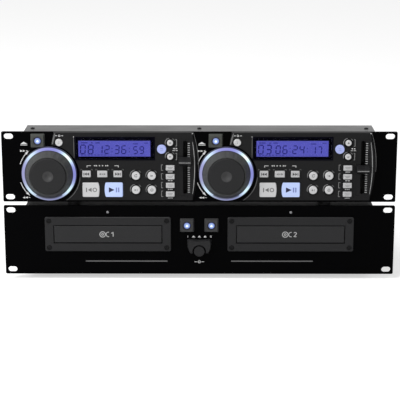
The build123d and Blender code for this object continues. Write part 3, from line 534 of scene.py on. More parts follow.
def surround_finish():
    """Charcoal, with the housings of the eject buttons a shade lighter, by their place on the panels."""
    made = finish("surround_plastic", (0.0125, 0.0125, 0.0135), (0.4, 0.5), (0.0006, 0.00003, 0.5),
                  Specular_IOR_Level=0.27)
    tree = made.node_tree
    place = node(tree, "SeparateXYZ", {0: node(tree, "TexCoord").outputs["Object"]})
    aside = node(tree, "Math", {0: place.outputs["X"]}, operation="ABSOLUTE").outputs[0]
    near = node(tree, "Math", {0: aside, 1: DRIVE_HOUSINGS_X}, operation="LESS_THAN").outputs[0]
    up = place.outputs["Z"]
    high = node(tree, "Math", {0: up, 1: DRIVE_HOUSINGS_Z}, operation="GREATER_THAN").outputs[0]
    middle = node(tree, "Math", {0: near, 1: high}, operation="MULTIPLY").outputs[0]
    deck = node(tree, "Math", {0: up, 1: DECK_HOUSINGS_Z}, operation="GREATER_THAN").outputs[0]
    marks = node(tree, "TexNoise", {"Vector": node(tree, "TexCoord").outputs["Object"], "Scale": 1600.0})
    dark = node(tree, "Mix", {"Factor": marks.outputs["Fac"], "A": (0.009, 0.009, 0.0097, 1),
                              "B": (0.017, 0.017, 0.0182, 1)}, data_type="RGBA").outputs["Result"]
    tone = node(tree, "Mix", {"Factor": middle, "A": dark, "B": (0.040, 0.040, 0.041, 1)},
                data_type="RGBA").outputs["Result"]
    tone = node(tree, "Mix", {"Factor": deck, "A": tone, "B": (0.062, 0.066, 0.060, 1)}, data_type="RGBA")
    tree.links.new(tone.outputs["Result"], tree.nodes["Principled BSDF"].inputs["Base Color"])
    return made


dress("front_surrounds", surround_finish(), 0.3, 3)


# ---------------------------------------------------------------------- screws
# Black socket screws sit in the wells of the bezels. Pan heads with a cross recess hold
# the two covers. A recess is cut by giving its rings a hexagon's or a cross's radius.
BAY_X, BAY_MID = 113.0, TRANSPORT_MID + 7.6
BEZEL_SCREW_X, BEZEL_SCREW_Z = 72.8, 17.1
WELL_FLOOR = PANEL_FACE - 0.9
COVER_SCREW_X = (-206.0, 0.0, 206.0)
COVER_HEADS = [(x, y, z) for y, z in ((-92.75, 185.9), (121.25, 92.95)) for x in COVER_SCREW_X]


def hexagon(size, count):
    """A hexagon's radius: half its width over the cosine of the turn from a side's middle."""
    turn = np.arange(count) * 2 * math.pi / count
    return size / np.cos((turn + math.pi / 6) % (math.pi / 3) - math.pi / 6)


def cross(reach, half, count):
    """A cross's radius: to an arm's end or its side, whichever is met, within one eighth of a turn."""
    turn = np.arange(count) * 2 * math.pi / count % (math.pi / 2)
    turn = np.minimum(turn, math.pi / 2 - turn)
    side = half / np.sin(np.maximum(turn, 0.01))
    return np.where(np.tan(turn) < half / reach, reach / np.cos(turn), side)


count = 48
head = [full([1.4, 2.5, 2.8, 2.8, 2.5], count), [hexagon(1.35, count)], [hexagon(1.25, count)]]
head_rings = np.concatenate(head)
head_y = (0.0, 0.0, -0.15, -0.8, -1.05, -1.0, -0.35)
heads = []
for side in (-1, 1):
    for x in (-BEZEL_SCREW_X, BEZEL_SCREW_X):
        for z in (-BEZEL_SCREW_Z, BEZEL_SCREW_Z):
            spot = (side * BAY_X + x, WELL_FLOOR, BAY_MID + z)
            heads.append(turned(head_rings, head_y, spot, closed=False))
black_steel = finish("black_oxide_steel", (0.0035, 0.0035, 0.004), (0.35, 0.5), (0.0005, 0.000008, 0.4),
                     Specular_IOR_Level=0.2)
bezel_heads = smooth(piece("bezel_screws", *joined(heads), black_steel, "housing", "screw_black"))
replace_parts(bezel_heads, "screws")
cap = [full([1.3, 2.4, 2.6, 2.6, 2.3, 1.7], count), [cross(1.35, 0.35, count)], [cross(0.9, 0.22, count)]]
cap_rings = np.concatenate(cap)
cap_z = (0.0, 0.0, 0.1, 0.55, 1.05, 1.25, 1.28, 0.35)
heads = [turned(cap_rings, cap_z, spot, axis="up", closed=False) for spot in COVER_HEADS]
cover_heads = smooth(piece("cover_screws", *joined(heads), black_steel, "housing", "screw_black"))
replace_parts(cover_heads, "screws")


# ----------------------------------------------------------------- drawer doors
# The doors carry the drawer's number beside two rings for the disc, in pale grey ink.
DOOR_FACE = middle_of("disc_tray_1")[2]
door_ink = ink("door_ink", 0.42)
NUMERAL_HALF = 0.55


def numeral(which, x, z, height):
    """A plain 1 or 2 as one bent stroke, drawn at a height of 1 and scaled."""
    if which == 1:
        path = [(-0.24, 0.24), (-0.02, 0.36), (0.14, 0.5), (0.14, 0.2), (0.14, -0.5)]
    else:
        turn = np.radians(np.linspace(165, -35, 13))
        bow = np.stack([0.27 * np.cos(turn), 0.22 + 0.27 * np.sin(turn)], 1)
        path = [*bow, (-0.02, -0.2), (-0.27, -0.46), (0.0, -0.46), (0.3, -0.46)]
    return [(np.array(path) * height + (x, z), NUMERAL_HALF)]


for number, side in ((1, -1), (2, 1)):
    marks = arc(-6.6, 0, 3.4, 0, 360, 0.55, 49) + arc(-6.6, 0, 1.2, 0, 360, 0.5, 25)
    marks += numeral(number, 5.6, 0, 5.8) + arc(0.6, 0, 2.9, 75, 285, 0.5, 25)
    name = f"disc_tray_{number}"
    printed(f"door_print_{number}", marks, (side * BAY_X, BAY_MID), DOOR_FACE, door_ink, name)


# ------------------------------------------------------------ lit eject buttons
# A domed lens of clear blue acrylic lit from behind by one lamp: nearly white in the
# middle, violet towards its rim, with a white eject sign moulded in.
LENS_R = 4.3


def lit(name, rough):
    """A lit plastic whose light is the colour that each point of the mesh holds."""
    made = finish(name, (0.05, 0.05, 0.06), rough, (0.0006, 0.000006, 0.4), Specular_IOR_Level=0.25,
                  Emission_Strength=1.0)
    tree = made.node_tree
    light = node(tree, "Attribute", attribute_name="light")
    tree.links.new(light.outputs["Color"], tree.nodes["Principled BSDF"].inputs["Emission Color"])
    return made


def give_light(made, colour):
    """Stores one linear colour per point, (points, 3)."""
    held = made.data.color_attributes.new("light", "FLOAT_COLOR", "POINT")
    held.data.foreach_set("color", np.c_[colour, np.ones(len(colour))].ravel())
    return made


lens_light = lit("lens_light", (0.12, 0.2))
glow_sign = finish("lens_sign", (0.7, 0.7, 0.75), (0.3, 0.4), (0.0005, 0.000003, 0.4),
                   Emission_Strength=1.0, Emission_Color=(0.80, 0.90, 1.0, 1.0))
LENS_PROFILE_R = np.array([2.0, 4.0, LENS_R, LENS_R, LENS_R - 0.25, 3.75, 3.65, 3.2, 2.6, 1.9, 1.3, 0.7])
LENS_PROFILE_Y = np.array([6.6, 6.6, 6.3, 0.9, 0.6, 0.5, 0.36, 0.2, 0.1, 0.04, 0.01, 0.0])
LENS_CENTRE, LENS_MIDDLE = np.array([0.55, 0.78, 1.0]), np.array([0.15, 0.22, 0.62])
LENS_RIM = np.array([0.006, 0.008, 0.05])
RIM_START, GLOW_WIDTH = 0.86, 0.5
LENS_SIGN = triangle_up(0, 0.1, 3.0, 2.4)
for name in ("eject_button_deck1", "eject_button_deck2", "eject_button_drive1", "eject_button_drive2"):
    x, z, face = middle_of(name)
    points, faces = turned(full(LENS_PROFILE_R, 48), LENS_PROFILE_Y, (x, face, z), closed=False)
    lens = smooth(piece(name.replace("button", "lens"), points, faces, lens_light, name, "lens_blue"))
    # The glow falls off as a bell with the distance from the middle.
    away = np.hypot(points[:, 0] - x, points[:, 2] - z) / LENS_R
    share = np.exp(-(away / GLOW_WIDTH)**2)[:, None]
    glow = share * LENS_CENTRE + (1 - share) * LENS_MIDDLE
    give_light(lens, np.where(away[:, None] < RIM_START, glow, LENS_RIM))
    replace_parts(lens, name)
    label = name.replace("button", "lens_sign")
    printed(label, LENS_SIGN, (x, z), face, glow_sign, name, "lens_blue", 0.05, 0.1)

# Indicators over the drives: small milky domes, unlit.
indicator_plastic = finish("indicator_plastic", (0.26, 0.26, 0.27), (0.25, 0.35), (0.0005, 0.000004, 0.4))
dome_r = full([0.8, 1.55, 1.6, 1.6, 1.35, 0.8], 32)
dome_y = (4.0, 4.0, 3.8, -0.2, -0.6, -0.8)
DOME_Z = TRANSPORT_MID + 35.4
domes = [turned(dome_r, dome_y, (side * BAY_X, PANEL_FACE, DOME_Z), closed=False) for side in (-1, 1)]
indicators = smooth(piece("indicators", *joined(domes), indicator_plastic, "housing", "clear_plastic"))
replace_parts(indicators, "windows_and_light_rings")

# The power button is a solid charcoal moulding, slightly smoother than its shield.
power_plastic = finish("power_plastic", (0.0125, 0.0125, 0.0135), (0.38, 0.46), (0.0007, 0.00002, 0.5),
                       specks=0.3, Specular_IOR_Level=0.28)
dress("power_button", power_plastic, 0.4, 3)


# ----------------------------------------------------------------- deck plates
# One grained black moulding for each deck, 3 mm thick, with sloping sides, raised rims
# round its keys and a sunk channel for the slider. Signs are printed in pale ink.
deck_plastic = finish("deck_plastic", (0.0068, 0.0068, 0.0073), (0.36, 0.48), (0.0008, 0.00006, 0.55),
                      specks=0.6, Specular_IOR_Level=0.19)
dress("deck_plates", deck_plastic, 0.3, 3)

PLATE_FACE = PANEL_FACE - 3.0
RIM_FACE = PLATE_FACE - 0.5
CHANNEL_FLOOR = PLATE_FACE + 0.6
ROUND_KEYS = [(31.0 + 19.4 * column, -10.1 - 17.9 * row) for row in (0, 1) for column in (0, 1)]
BAR_KEYS = [(73.0, -0.3 - 11.0 * row) for row in range(4)]
TOP_KEYS, TOP_KEYS_Z = ((-29.3, 10.4), (-10.0, 12.2), (8.9, 10.4)), -8.0
BEND_KEYS = ((73.0, 30.9), (73.0, 13.7))
grey_ink = ink("grey_ink", 0.30)
pale_ink = ink("pale_ink", 0.45)

# White signs: over the time key, in the bracket over the three small keys, and between
# the two bend keys.
TIME_X, TIME_Z = -61.6, 39.6
BRACKET_Z = 2.2
BEND_Z = 23.6
white = bar(TIME_X - 3.6, TIME_Z, 2.2, 0.7) + bar(TIME_X + 3.6, TIME_Z, 2.2, 0.7)
white += arc(TIME_X, TIME_Z, 1.1, 0, 360, 0.22, 25) + bar(TIME_X + 0.3, TIME_Z + 0.3, 0.7, 0.25)
white += bar(-26.4, BRACKET_Z, 5.0, 0.6) + bar(7.4, BRACKET_Z, 5.0, 0.6)
white += bar(-28.6, BRACKET_Z - 1.2, 0.6, 1.8) + bar(9.6, BRACKET_Z - 1.2, 0.6, 1.8)
for x, width in ((-19.6, -1.8), (-17.4, -1.8), (-5.4, 1.8), (-3.2, 1.8)):
    white += triangle(x, BRACKET_Z, width, 1.9)
white += bar(-13.4, BRACKET_Z, 1.3, 1.3) + bar(-9.6, BRACKET_Z, 1.3, 1.3)
white += triangle(77.4, BEND_Z, -2.2, 1.8) + triangle(80.9, BEND_Z, 2.2, 1.8)
white += bar(77.2, BEND_Z - 2.4, 2.8, 0.6) + bar(81.0, BEND_Z - 2.4, 2.8, 0.6)

# Grey brackets beside the bend keys and the bar keys, and on the rims of the bar keys
# one to four pale dashes.
DASHES, DASH_GAP = 6.4, 0.7
grey, raised = [], []
for x, z in BEND_KEYS:
    grey += bar(x + 8.0, z, 0.55, 8.6)
    grey += bar(x + 7.2, z + 4.0, 1.1, 0.55) + bar(x + 7.2, z - 4.0, 1.1, 0.55)
for row, (x, z) in enumerate(BAR_KEYS):
    grey += bar(x - 10.8, z + 0.2, 0.5, 7.4)
    grey += bar(x - 9.7, z + 3.65, 1.7, 0.5) + bar(x - 9.7, z - 3.25, 1.7, 0.5)
    step = DASHES / (row + 1)
    for dash in range(row + 1):
        raised += bar(x + step * (dash - row / 2), z - 5.0, step - DASH_GAP, 1.3)

# In the slider's channel: its scale, and felt along both sides of the slot.
TICK_X, TICKS, MIDDLE_TICK = 95.7, np.linspace(30.1, -31.2, 23), 11
SLOT_X, FELT_LONG = 91.1, 65.0
scale = []
for index, z in enumerate(TICKS):
    middle = index == MIDDLE_TICK
    scale += bar(TICK_X, z, 3.2 if middle else 2.6, 1.3 if middle else 0.9)
strips = bar(SLOT_X - 2.1, 0, 0.5, FELT_LONG) + bar(SLOT_X + 2.5, 0, 1.3, FELT_LONG)
felt = finish("slot_felt", (0.0012, 0.0012, 0.0013), (0.85, 0.95), (0.0003, 0.00004, 0.7),
              Specular_IOR_Level=0.0)
for number in DECKS:
    deck = DECK_MID[number]
    printed(f"plate_print_white_deck{number}", white, deck, PLATE_FACE, white_ink)
    printed(f"plate_print_grey_deck{number}", grey, deck, PLATE_FACE, grey_ink)
    printed(f"slider_ticks_deck{number}", scale, deck, CHANNEL_FLOOR, pale_ink)
    printed(f"slot_felt_deck{number}", strips, deck, CHANNEL_FLOOR, felt, slot="deck_plastic", proud=0.08)
    printed(f"rim_print_deck{number}", raised, deck, RIM_FACE, pale_ink)


# Trims on the plate: a black collar round each round key, with two pale grey arcs on its
# rim that are painted highlights; pale corner marks round the three small keys, painted
# highlights of their rims; a bright bead along the bowed right side and two bright dots,
# all painted highlights; and thinner pale beads on the edges of plate, display and pad,
# painted highlights of those edges.
collar_black = finish("collar_black", (0.003, 0.003, 0.003), (0.25, 0.35), (0.0006, 0.000003, 0.3),
                      Specular_IOR_Level=0.05)
# Pale finishes for painted highlights: bright on the bowed side and the corner dots, grey on collar rims,
# dimmer on edges.
bright_trim = finish("bright_trim", (0.42, 0.42, 0.42), (0.22, 0.32), (0.0006, 0.000003, 0.3), Metallic=0.6)
painted_glint_grey = finish("painted_glint_grey", (0.22, 0.22, 0.22), (0.25, 0.35), (0.0006, 0.000003, 0.3))
edge_trim = finish("edge_trim", (0.13, 0.13, 0.13), (0.25, 0.35), (0.0006, 0.000003, 0.3))


def bead(path, size, surface, steps=7):
    """A half-round bead on a surface that faces the front.

    Across a path in X and Z it is half an ellipse: its point at angle a lies cos(a) times
    its half width to the side and sin(a) times its height in front of the surface. Both
    taper to the ends with a low power of a sine. size is (half width, height).
    """
    width, height = size
    along = np.gradient(path, axis=0)
    along = along / np.linalg.norm(along, axis=1, keepdims=True)
    side = np.stack([-along[:, 1], along[:, 0]], 1)
    angle = np.linspace(0, math.pi, steps)
    taper = np.sin(np.linspace(0.12, math.pi - 0.12, len(path)))[:, None]**0.35
    across = path[:, None] + side[:, None] * (taper * width * np.cos(angle))[..., None]
    depth = surface - taper * height * np.sin(angle)
    points = np.stack([across[..., 0], depth, across[..., 1]], -1).reshape(-1, 3)
    here = steps * np.arange(len(path) - 1)[:, None]
    now, then = np.arange(steps)[None], (np.arange(steps)[None] + 1) % steps
    there = here + steps
    faces = np.stack([here + now, here + then, there + then, there + now], -1).reshape(-1, 4).tolist()
    last = steps * (len(path) - 1)
    faces += [list(range(steps))[::-1], [last + k for k in range(steps)]]
    return points, faces


collar = softened([(6.2, 0.1), (6.75, 0.1), (6.7, -0.3), (6.25, -0.3)], 0.1)
small_collar = softened([(4.8, 0.1), (5.5, 0.1), (5.45, -0.3), (4.85, -0.3)], 0.1)
COLLARS = ((ROUND_KEYS, collar, 64, 7.05), (BEND_KEYS, small_collar, 56, 5.9))
GLINTS = ((100, 200, 0.5), (30, 62, 0.35))
rings, glints = [], []
for keys, profile, count, glint_r in COLLARS:
    for x, z in keys:
        rings.append(turned(full(profile[:, 0], count), profile[:, 1], (x, RIM_FACE, z)))
        # Painted highlights: two pale grey arcs on each collar's rim, where it would catch the light.
        for start, end, half in GLINTS:
            path = arc(x, z, glint_r, start, end, half, 14)[0][0]
            glints.append(bead(path, (half, 0.3), RIM_FACE))
# Painted highlights: pale grey corner marks on the rims of the three small keys.
corners = []
for x, width in TOP_KEYS:
    corners += corner_marks(x, TOP_KEYS_Z, width + 3.6, 11.4, 1.6, 0.5)

# The bow of the plate's right side is a parabola, and so is its outer edge.
BOW_X, BOW, BOW_MID, BOW_HALF = 100.35, 2.6, -0.75, 32.65
height = np.linspace(31.9, -33.4, 40)
bow = BOW_X + BOW * (1 - ((height - BOW_MID) / BOW_HALF)**2)
# Painted highlight: a bright bead along the bow of the plate's right side.
bright_highlights = [bead(np.stack([bow, height], 1), (0.5, 0.3), PLATE_FACE)]
# Painted highlights: two bright domes, at corners of the display frame and the plate.
for x, z in ((-44.2, 38.0), (100.2, 42.4)):
    dome_r, dome_y = full([0.85, 0.8, 0.6, 0.3], 24), (0.2, -0.2, -0.42, -0.5)
    bright_highlights.append(turned(dome_r, dome_y, (x, PLATE_FACE, z), closed=False))
# Painted highlights: pale beads along the plate's arc round the jog, its left edge, the display frame, the
# pad and the outer bow.
turn = np.radians(np.linspace(-4, -57, 30))
round_jog = np.stack([JOG_X + 38.1 * np.cos(turn), JOG_Z - 1.2 + 38.1 * np.sin(turn)], 1)
height = np.linspace(43.2, -6.0, 24)
outer = np.stack([107.6 - 6.5 * ((height - 1.5) / 42.5)**2, height], 1)
left_edge = np.linspace((-66.8, 42.6), (-70.3, 28.8), 12)
frame_edge = np.linspace((-44.1, 36.8), (-44.1, 12.2), 12)
pad_edge = np.linspace((-36.0, -18.5), (-36.0, -37.2), 12)
dim_highlights = [bead(round_jog, (0.55, 0.3), PLATE_FACE), bead(left_edge, (1.0, 0.3), PLATE_FACE),
       bead(frame_edge, (0.45, 0.25), PLATE_FACE), bead(pad_edge, (0.4, 0.25), PLATE_FACE),
       bead(outer, (0.5, 0.5), PANEL_FACE)]


def on_deck(name, shapes, number, material):
    """Shapes made about a deck's middle, joined, moved to that deck and finished as one piece."""
    points, faces = joined(shapes)
    x, z = DECK_MID[number]
    points = points + (x, 0, z)
    return smooth(piece(f"{name}_deck{number}", points, faces, material, "housing", "deck_plastic"))


for number in DECKS:
    on_deck("key_collars", rings, number, collar_black)
    on_deck("rim_glints", glints, number, painted_glint_grey)
    name = f"rim_corners_deck{number}"
    printed(name, corners, DECK_MID[number], RIM_FACE, edge_trim, slot="deck_plastic", proud=0.1)
    on_deck("side_highlight_bead", bright_highlights, number, bright_trim)
    on_deck("edge_highlight_beads", dim_highlights, number, edge_trim)


# -------------------------------------------------------------------- displays
# Each display is a backlit liquid crystal behind a clear window: a blue lit field with
# dark numerals, in a black mask that is printed on the window's back.
WINDOW_X, WINDOW_Z = (-41.6, 53.0), (11.0, 36.9)
LIT_X, LIT_Z = (-38.8, 48.9), (13.4, 33.1)
FRAME_X, FRAME_Z = (-43.5, 54.6), (9.1, 38.5)
WINDOW_FRONT, WINDOW_BACK = PANEL_FACE - 3.1, PANEL_FACE - 1.6
MASK_FRONT, MASK_BACK = WINDOW_BACK + 0.02, PANEL_FACE - 1.45
FIELD_BACK = MASK_BACK + 0.25
FRAME_BACK, FRAME_FRONT = PLATE_FACE - 0.3, PLATE_FACE - 0.75
mask_black = finish("display_mask", (0.0015, 0.0015, 0.006), (0.5, 0.6), (0.0005, 0.000003, 0.3),
                    Specular_IOR_Level=0.02)
clear_window = finish("window_acrylic", (0.97, 0.97, 1.0), (0.02, 0.05), (0.004, 0.0000005, 0.2),
                      IOR=1.08, Transmission_Weight=1.0)
digit_ink = finish("display_numerals", (0.004, 0.004, 0.03), (0.5, 0.6), (0.0005, 0.000003, 0.3),
                   Specular_IOR_Level=0.1, Emission_Color=(0.010, 0.010, 0.13, 1), Emission_Strength=1.0)
frame_black = finish("display_frame_gloss", (0.0012, 0.0012, 0.005), (0.2, 0.3), (0.0006, 0.000003, 0.3),
                     Specular_IOR_Level=0.05)


def backlight():
    """Blue light in slow clouds, crossed by the faint grid of the display's cells."""
    made = finish("display_light", (0.01, 0.01, 0.04), (0.4, 0.5), (0.0005, 0.000003, 0.3),
                  Specular_IOR_Level=0.1, Emission_Strength=1.0)
    tree = made.node_tree
    place = node(tree, "TexCoord").outputs["Object"]
    clouds = node(tree, "TexNoise", {"Vector": place, "Scale": 60.0, "Detail": 2.0})
    upright = node(tree, "Mapping", {"Vector": place, "Rotation": (math.pi / 2, 0, 0)}).outputs[0]
    cells = node(tree, "TexBrick", {"Vector": upright, "Scale": 220.0, "Mortar Size": 0.03,
                                    "Color1": (1, 1, 1, 1), "Color2": (0.97, 0.97, 0.97, 1),
                                    "Mortar": (0.93, 0.93, 0.93, 1)}, offset=0.0)
    blue = node(tree, "Mix", {"Factor": clouds.outputs["Fac"], "A": (0.074, 0.076, 0.41, 1),
                              "B": (0.098, 0.100, 0.49, 1)}, data_type="RGBA")
    light = node(tree, "Mix", {"Factor": 1.0, "A": blue.outputs["Result"], "B": cells.outputs["Color"]},
                 data_type="RGBA", blend_type="MULTIPLY")
    tree.links.new(light.outputs["Result"], tree.nodes["Principled BSDF"].inputs["Emission Color"])
    return made


display_light = backlight()
LEAN = 0.06
# Track, minutes, seconds and frames: middle of the first numeral, height, width,
# thickness and step. The numbers are this model's own.
NUMERAL_PLACES = ((-33.4, 22.3, 10.8, 5.6, 1.5, 9.6), (-12.4, 22.0, 9.6, 5.0, 1.4, 8.4),
                  (8.2, 22.0, 9.6, 5.0, 1.4, 8.4), (30.8, 21.4, 8.6, 4.4, 1.3, 7.6))
DISPLAY_NUMBERS = {1: ("08", "12", "36", "59"), 2: ("03", "06", "24", "17")}
PLAYED, NOTCHES = 8, 20
signs = []
for x in (2.2, 23.2):
    signs += bar(x, 23.6, 1.1, 1.1) + bar(x, 19.4, 1.1, 1.1)
signs += bar(-31.4, 30.4, 8.0, 1.1) + bar(-15.4, 30.4, 5.6, 1.1) + bar(30.8, 29.2, 6.4, 1.0)
signs += triangle(-21.8, 30.4, 2.4, 2.0) + bar(43.9, 30.2, 4.6, 0.9)
for notch in range(NOTCHES):
    signs += bar(-34.6 + 4.05 * notch, 15.2, 2.6 if notch < PLAYED else 0.5, 0.8)
border = [((WINDOW_X[0], LIT_X[0]), LIT_Z), ((LIT_X[1], WINDOW_X[1]), LIT_Z),
          (WINDOW_X, (WINDOW_Z[0], LIT_Z[0])), (WINDOW_X, (LIT_Z[1], WINDOW_Z[1]))]
rails = [(FRAME_X, (WINDOW_Z[1], FRAME_Z[1])), (FRAME_X, (FRAME_Z[0], WINDOW_Z[0])),
         ((FRAME_X[0], WINDOW_X[0]), WINDOW_Z), ((WINDOW_X[1], FRAME_X[1]), WINDOW_Z)]


def layer(name, areas, front, back, number, material, slot="clear_plastic"):
    """Flat rectangles of a deck's display, each ((x, x), (z, z)), between two depths, as one piece."""
    marks = [([(x[0], sum(z) / 2), (x[1], sum(z) / 2)], (z[1] - z[0]) / 2) for x, z in areas]
    label = f"display_{name}_deck{number}"
    return printed(label, marks, DECK_MID[number], back, material, slot=slot, proud=back - front)


for number in DECKS:
    mask = layer("mask", border, MASK_FRONT, MASK_BACK, number, mask_black)
    field = layer("field", [(LIT_X, LIT_Z)], MASK_BACK, FIELD_BACK, number, display_light)
    numerals = []
    for (x, z, *sizes), digits in zip(NUMERAL_PLACES, DISPLAY_NUMBERS[number]):
        numerals += segments(x, z, digits, *sizes, LEAN)
    name = f"display_numerals_deck{number}"
    printed(name, numerals + signs, DECK_MID[number], MASK_BACK, digit_ink, slot="clear_plastic")
    window = layer("window", [(WINDOW_X, WINDOW_Z)], WINDOW_FRONT, WINDOW_BACK, number, clear_window)
    for part in (mask, field, window):
        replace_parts(part, "windows_and_light_rings")
    layer("frame", rails, FRAME_FRONT, FRAME_BACK, number, frame_black, "deck_plastic")


# ------------------------------------------------------------------- jog wheels
# Round each jog lies a ring of milky acrylic, lit violet from behind by four lamps that
# show as cold bright patches. Inside it turns the shuttle ring, a fluted cone of grey
# plastic, and in front of that the hand disc, soft black rubber with a finger dish.
ring_profile = softened([(29.3, 0.0), (34.0, 0.0), (33.9, -2.6), (33.1, -4.2), (32.6, -4.6), (29.8, -4.6),
                         (29.3, -4.1)], 0.35)
ring_light = lit("ring_light", (0.25, 0.35))
RING_VIOLET = np.array([0.252, 0.262, 0.580])
RING_RIGHT = np.array([-0.155, -0.13, 0.06])
RING_UP = np.array([0.0, -0.04, 0.14])
RING_COLD = np.array([0.74, 1.00, 1.06])
LAMPS, LAMP_WIDTH = ((133, 0.74), (42, 1.25), (-40, 0.88), (-137, 0.72)), 17.0
# The skirt behind the ring's front and a strip at its inner edge, which widens low
# down, stay nearly dark.
RING_SKIRT, SKIRT_Y, SKIRT_FADE = 0.06, PANEL_FACE - 3.9, 0.4
RING_INNER, INNER_WIDER = 29.7, 0.7
RING_STEPS = 144


def ring_colour(points, x, z):
    """Violet that changes with the sine and cosine of the angle, with a cold patch at each lamp.

    A patch falls off as a bell with the angle from its lamp.
    """
    turn = np.degrees(np.arctan2(points[:, 2] - z, points[:, 0] - x))
    side, up = np.cos(np.radians(turn))[:, None], np.sin(np.radians(turn))[:, None]
    colour = RING_VIOLET * (1.0 + RING_RIGHT * side + RING_UP * up)
    for place, power in LAMPS:
        away = (turn - place + 180) % 360 - 180
        patch = power * np.exp(-(away / LAMP_WIDTH)**2)[:, None]
        colour = colour * (1 - 0.8 * np.minimum(patch, 1)) + patch * RING_COLD
    front = np.clip((SKIRT_Y - points[:, 1:2]) / SKIRT_FADE, RING_SKIRT, 1)
    away = np.hypot(points[:, :1] - x, points[:, 2:] - z)
    front = np.where(away < RING_INNER + INNER_WIDER * np.maximum(0, -up)**3, RING_SKIRT, front)
    return np.clip(colour, 0, 1.0) * front


SHUTTLE = [(3.05, 9.0), (6.5, 9.0), (6.5, -8.4), (25.2, -8.4), (27.2, -4.2), (27.2, -0.8), (29.0, -0.8)]
CONE_FOOT, CONE_TOP = (29.0, -4.4), (23.7, -15.55)
MOUTH = [(22.7, -15.55), (22.6, -10.4), (3.05, -10.4)]
FLUTES, FLUTE_HALF, FLUTE_DEPTH = 16, 2.6, 0.6
shuttle_plastic = finish("shuttle_plastic", (0.068, 0.069, 0.068), (0.42, 0.55), (0.0007, 0.00004, 0.5),
                         specks=0.35, Specular_IOR_Level=0.14)


def shuttle_ring(x, z, count=FLUTES * 16, rows=18):
    """The cone with its flutes, web and hub.

    On the cone each flute is a trough: its depth falls with the square of the distance
    from its middle line, and fades out towards both rims with a sine.
    """
    t = np.linspace(0, 1, rows)[:, None]
    cone = np.array(CONE_FOOT) * (1 - t) + np.array(CONE_TOP) * t
    profile = np.concatenate([SHUTTLE, cone, MOUTH])
    radii = full(profile[:, 0], count)
    turn = np.arange(count) * 2 * math.pi / count
    pitch = 2 * math.pi / FLUTES
    away = ((turn + pitch / 2) % pitch - pitch / 2) * cone[:, :1]
    fade = np.sin(math.pi * t)**0.6
    first = len(SHUTTLE)
    radii[first:first + rows] -= FLUTE_DEPTH * np.maximum(0, 1 - (away / FLUTE_HALF)**2) * fade
    return turned(radii, profile[:, 1], (x, PANEL_FACE, z))


jog_rubber = finish("jog_rubber", (0.0185, 0.0185, 0.0193), (0.55, 0.68), (0.0006, 0.00004, 0.6),
                    specks=0.3, Specular_IOR_Level=0.2)
DISC_R, DISC_FRONT, DISC_BACK, DISC_EDGE = 22.2, 17.5, 14.5, 1.1
DISH_R, DISH_DEPTH = 7.2, 2.0
SHAFT_R, SHAFT_END = 3.0, 12.0


def jog_disc(x, z):
    """The hand disc on its shaft.

    Its face is flat out to a rounded edge, and its dish is a hollow whose depth falls with
    a raised cosine of the distance from the middle.
    """
    dish = np.linspace(DISH_R, 0.35, 12)
    dish_y = -DISC_FRONT + DISH_DEPTH * (0.5 + 0.5 * np.cos(math.pi * dish / DISH_R))
    turn = np.radians(np.linspace(0, 90, 7))
    edge_r = DISC_R - DISC_EDGE + DISC_EDGE * np.cos(turn)
    edge_y = -DISC_FRONT + DISC_EDGE - DISC_EDGE * np.sin(turn)
    face = np.linspace(DISC_R - 1.6, DISH_R + 0.6, 8)
    back_r = [SHAFT_R / 2, SHAFT_R, SHAFT_R, 20.0, DISC_R - 0.4, DISC_R]
    back_y = [SHAFT_END, SHAFT_END, -DISC_BACK, -DISC_BACK, -DISC_BACK, -DISC_BACK - 0.4]
    radii = np.concatenate([back_r, edge_r, face, dish])
    heights = np.concatenate([back_y, edge_y, np.full(8, -DISC_FRONT), dish_y])
    return turned(full(radii, 96), heights, (x, PANEL_FACE, z), closed=False)


dish_plastic = finish("finger_dish_plastic", (0.030, 0.030, 0.031), (0.35, 0.45), (0.0006, 0.00002, 0.5),
                      specks=0.2)
INLAY = 0.12


def finger_dish(x, z):
    """A thin smooth inlay in the dish: its hollow, a little in front of it, over a flat back."""
    out = np.linspace(6.6, 0.3, 14)
    hollow = -DISC_FRONT + DISH_DEPTH * (0.5 + 0.5 * np.cos(math.pi * out / DISH_R))
    radii = np.concatenate([[3.0, 6.4], out])
    heights = np.concatenate([[-DISC_BACK - 0.4, -DISC_BACK - 0.4], hollow - INLAY])
    return turned(full(radii, 64), heights, (x, PANEL_FACE, z), closed=False)


for number in DECKS:
    x, z = middle_of(f"shuttle_ring_deck{number}")[:2]
    points, faces = turned(full(ring_profile[:, 0], RING_STEPS), ring_profile[:, 1], (x, PANEL_FACE, z))
    ring = smooth(piece(f"light_ring_deck{number}", points, faces, ring_light, "housing", "clear_plastic"))
    give_light(ring, ring_colour(points, x, z))
    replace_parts(ring, "windows_and_light_rings")
    name = f"shuttle_ring_deck{number}"
    cone = piece(f"fluted_ring_deck{number}", *shuttle_ring(x, z), shuttle_plastic, name, "shuttle_plastic")
    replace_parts(smooth(cone), name)
    name = f"jog_disc_deck{number}"
    disc = smooth(piece(f"hand_disc_deck{number}", *jog_disc(x, z), jog_rubber, name, "jog_rubber"))
    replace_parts(disc, name)
    smooth(piece(f"finger_dish_deck{number}", *finger_dish(x, z), dish_plastic, name, "jog_rubber"))


# ------------------------------------------------------------------------ keys
# Caps of ivory white plastic with softened edges. Play and pitch are lit blue from behind.
# Their signs are printed in black, and in navy and pale blue on play.
key_plastic = finish("key_plastic", (0.63, 0.63, 0.635), (0.38, 0.5), (0.0007, 0.000012, 0.5), specks=0.05)
small_key_plastic = finish("small_key_plastic", (0.53, 0.53, 0.535), (0.38, 0.5), (0.0007, 0.000012, 0.5),
                           specks=0.05)
key_ink = ink("key_ink", (0.03, 0.03, 0.032), 0.1)
faint_ink = ink("faint_key_ink", 0.15, 0.1)
navy_ink = ink("navy_ink", (0.004, 0.006, 0.05), 0.1)
pale_blue_ink = ink("pale_blue_ink", (0.20, 0.26, 0.56), 0.1)


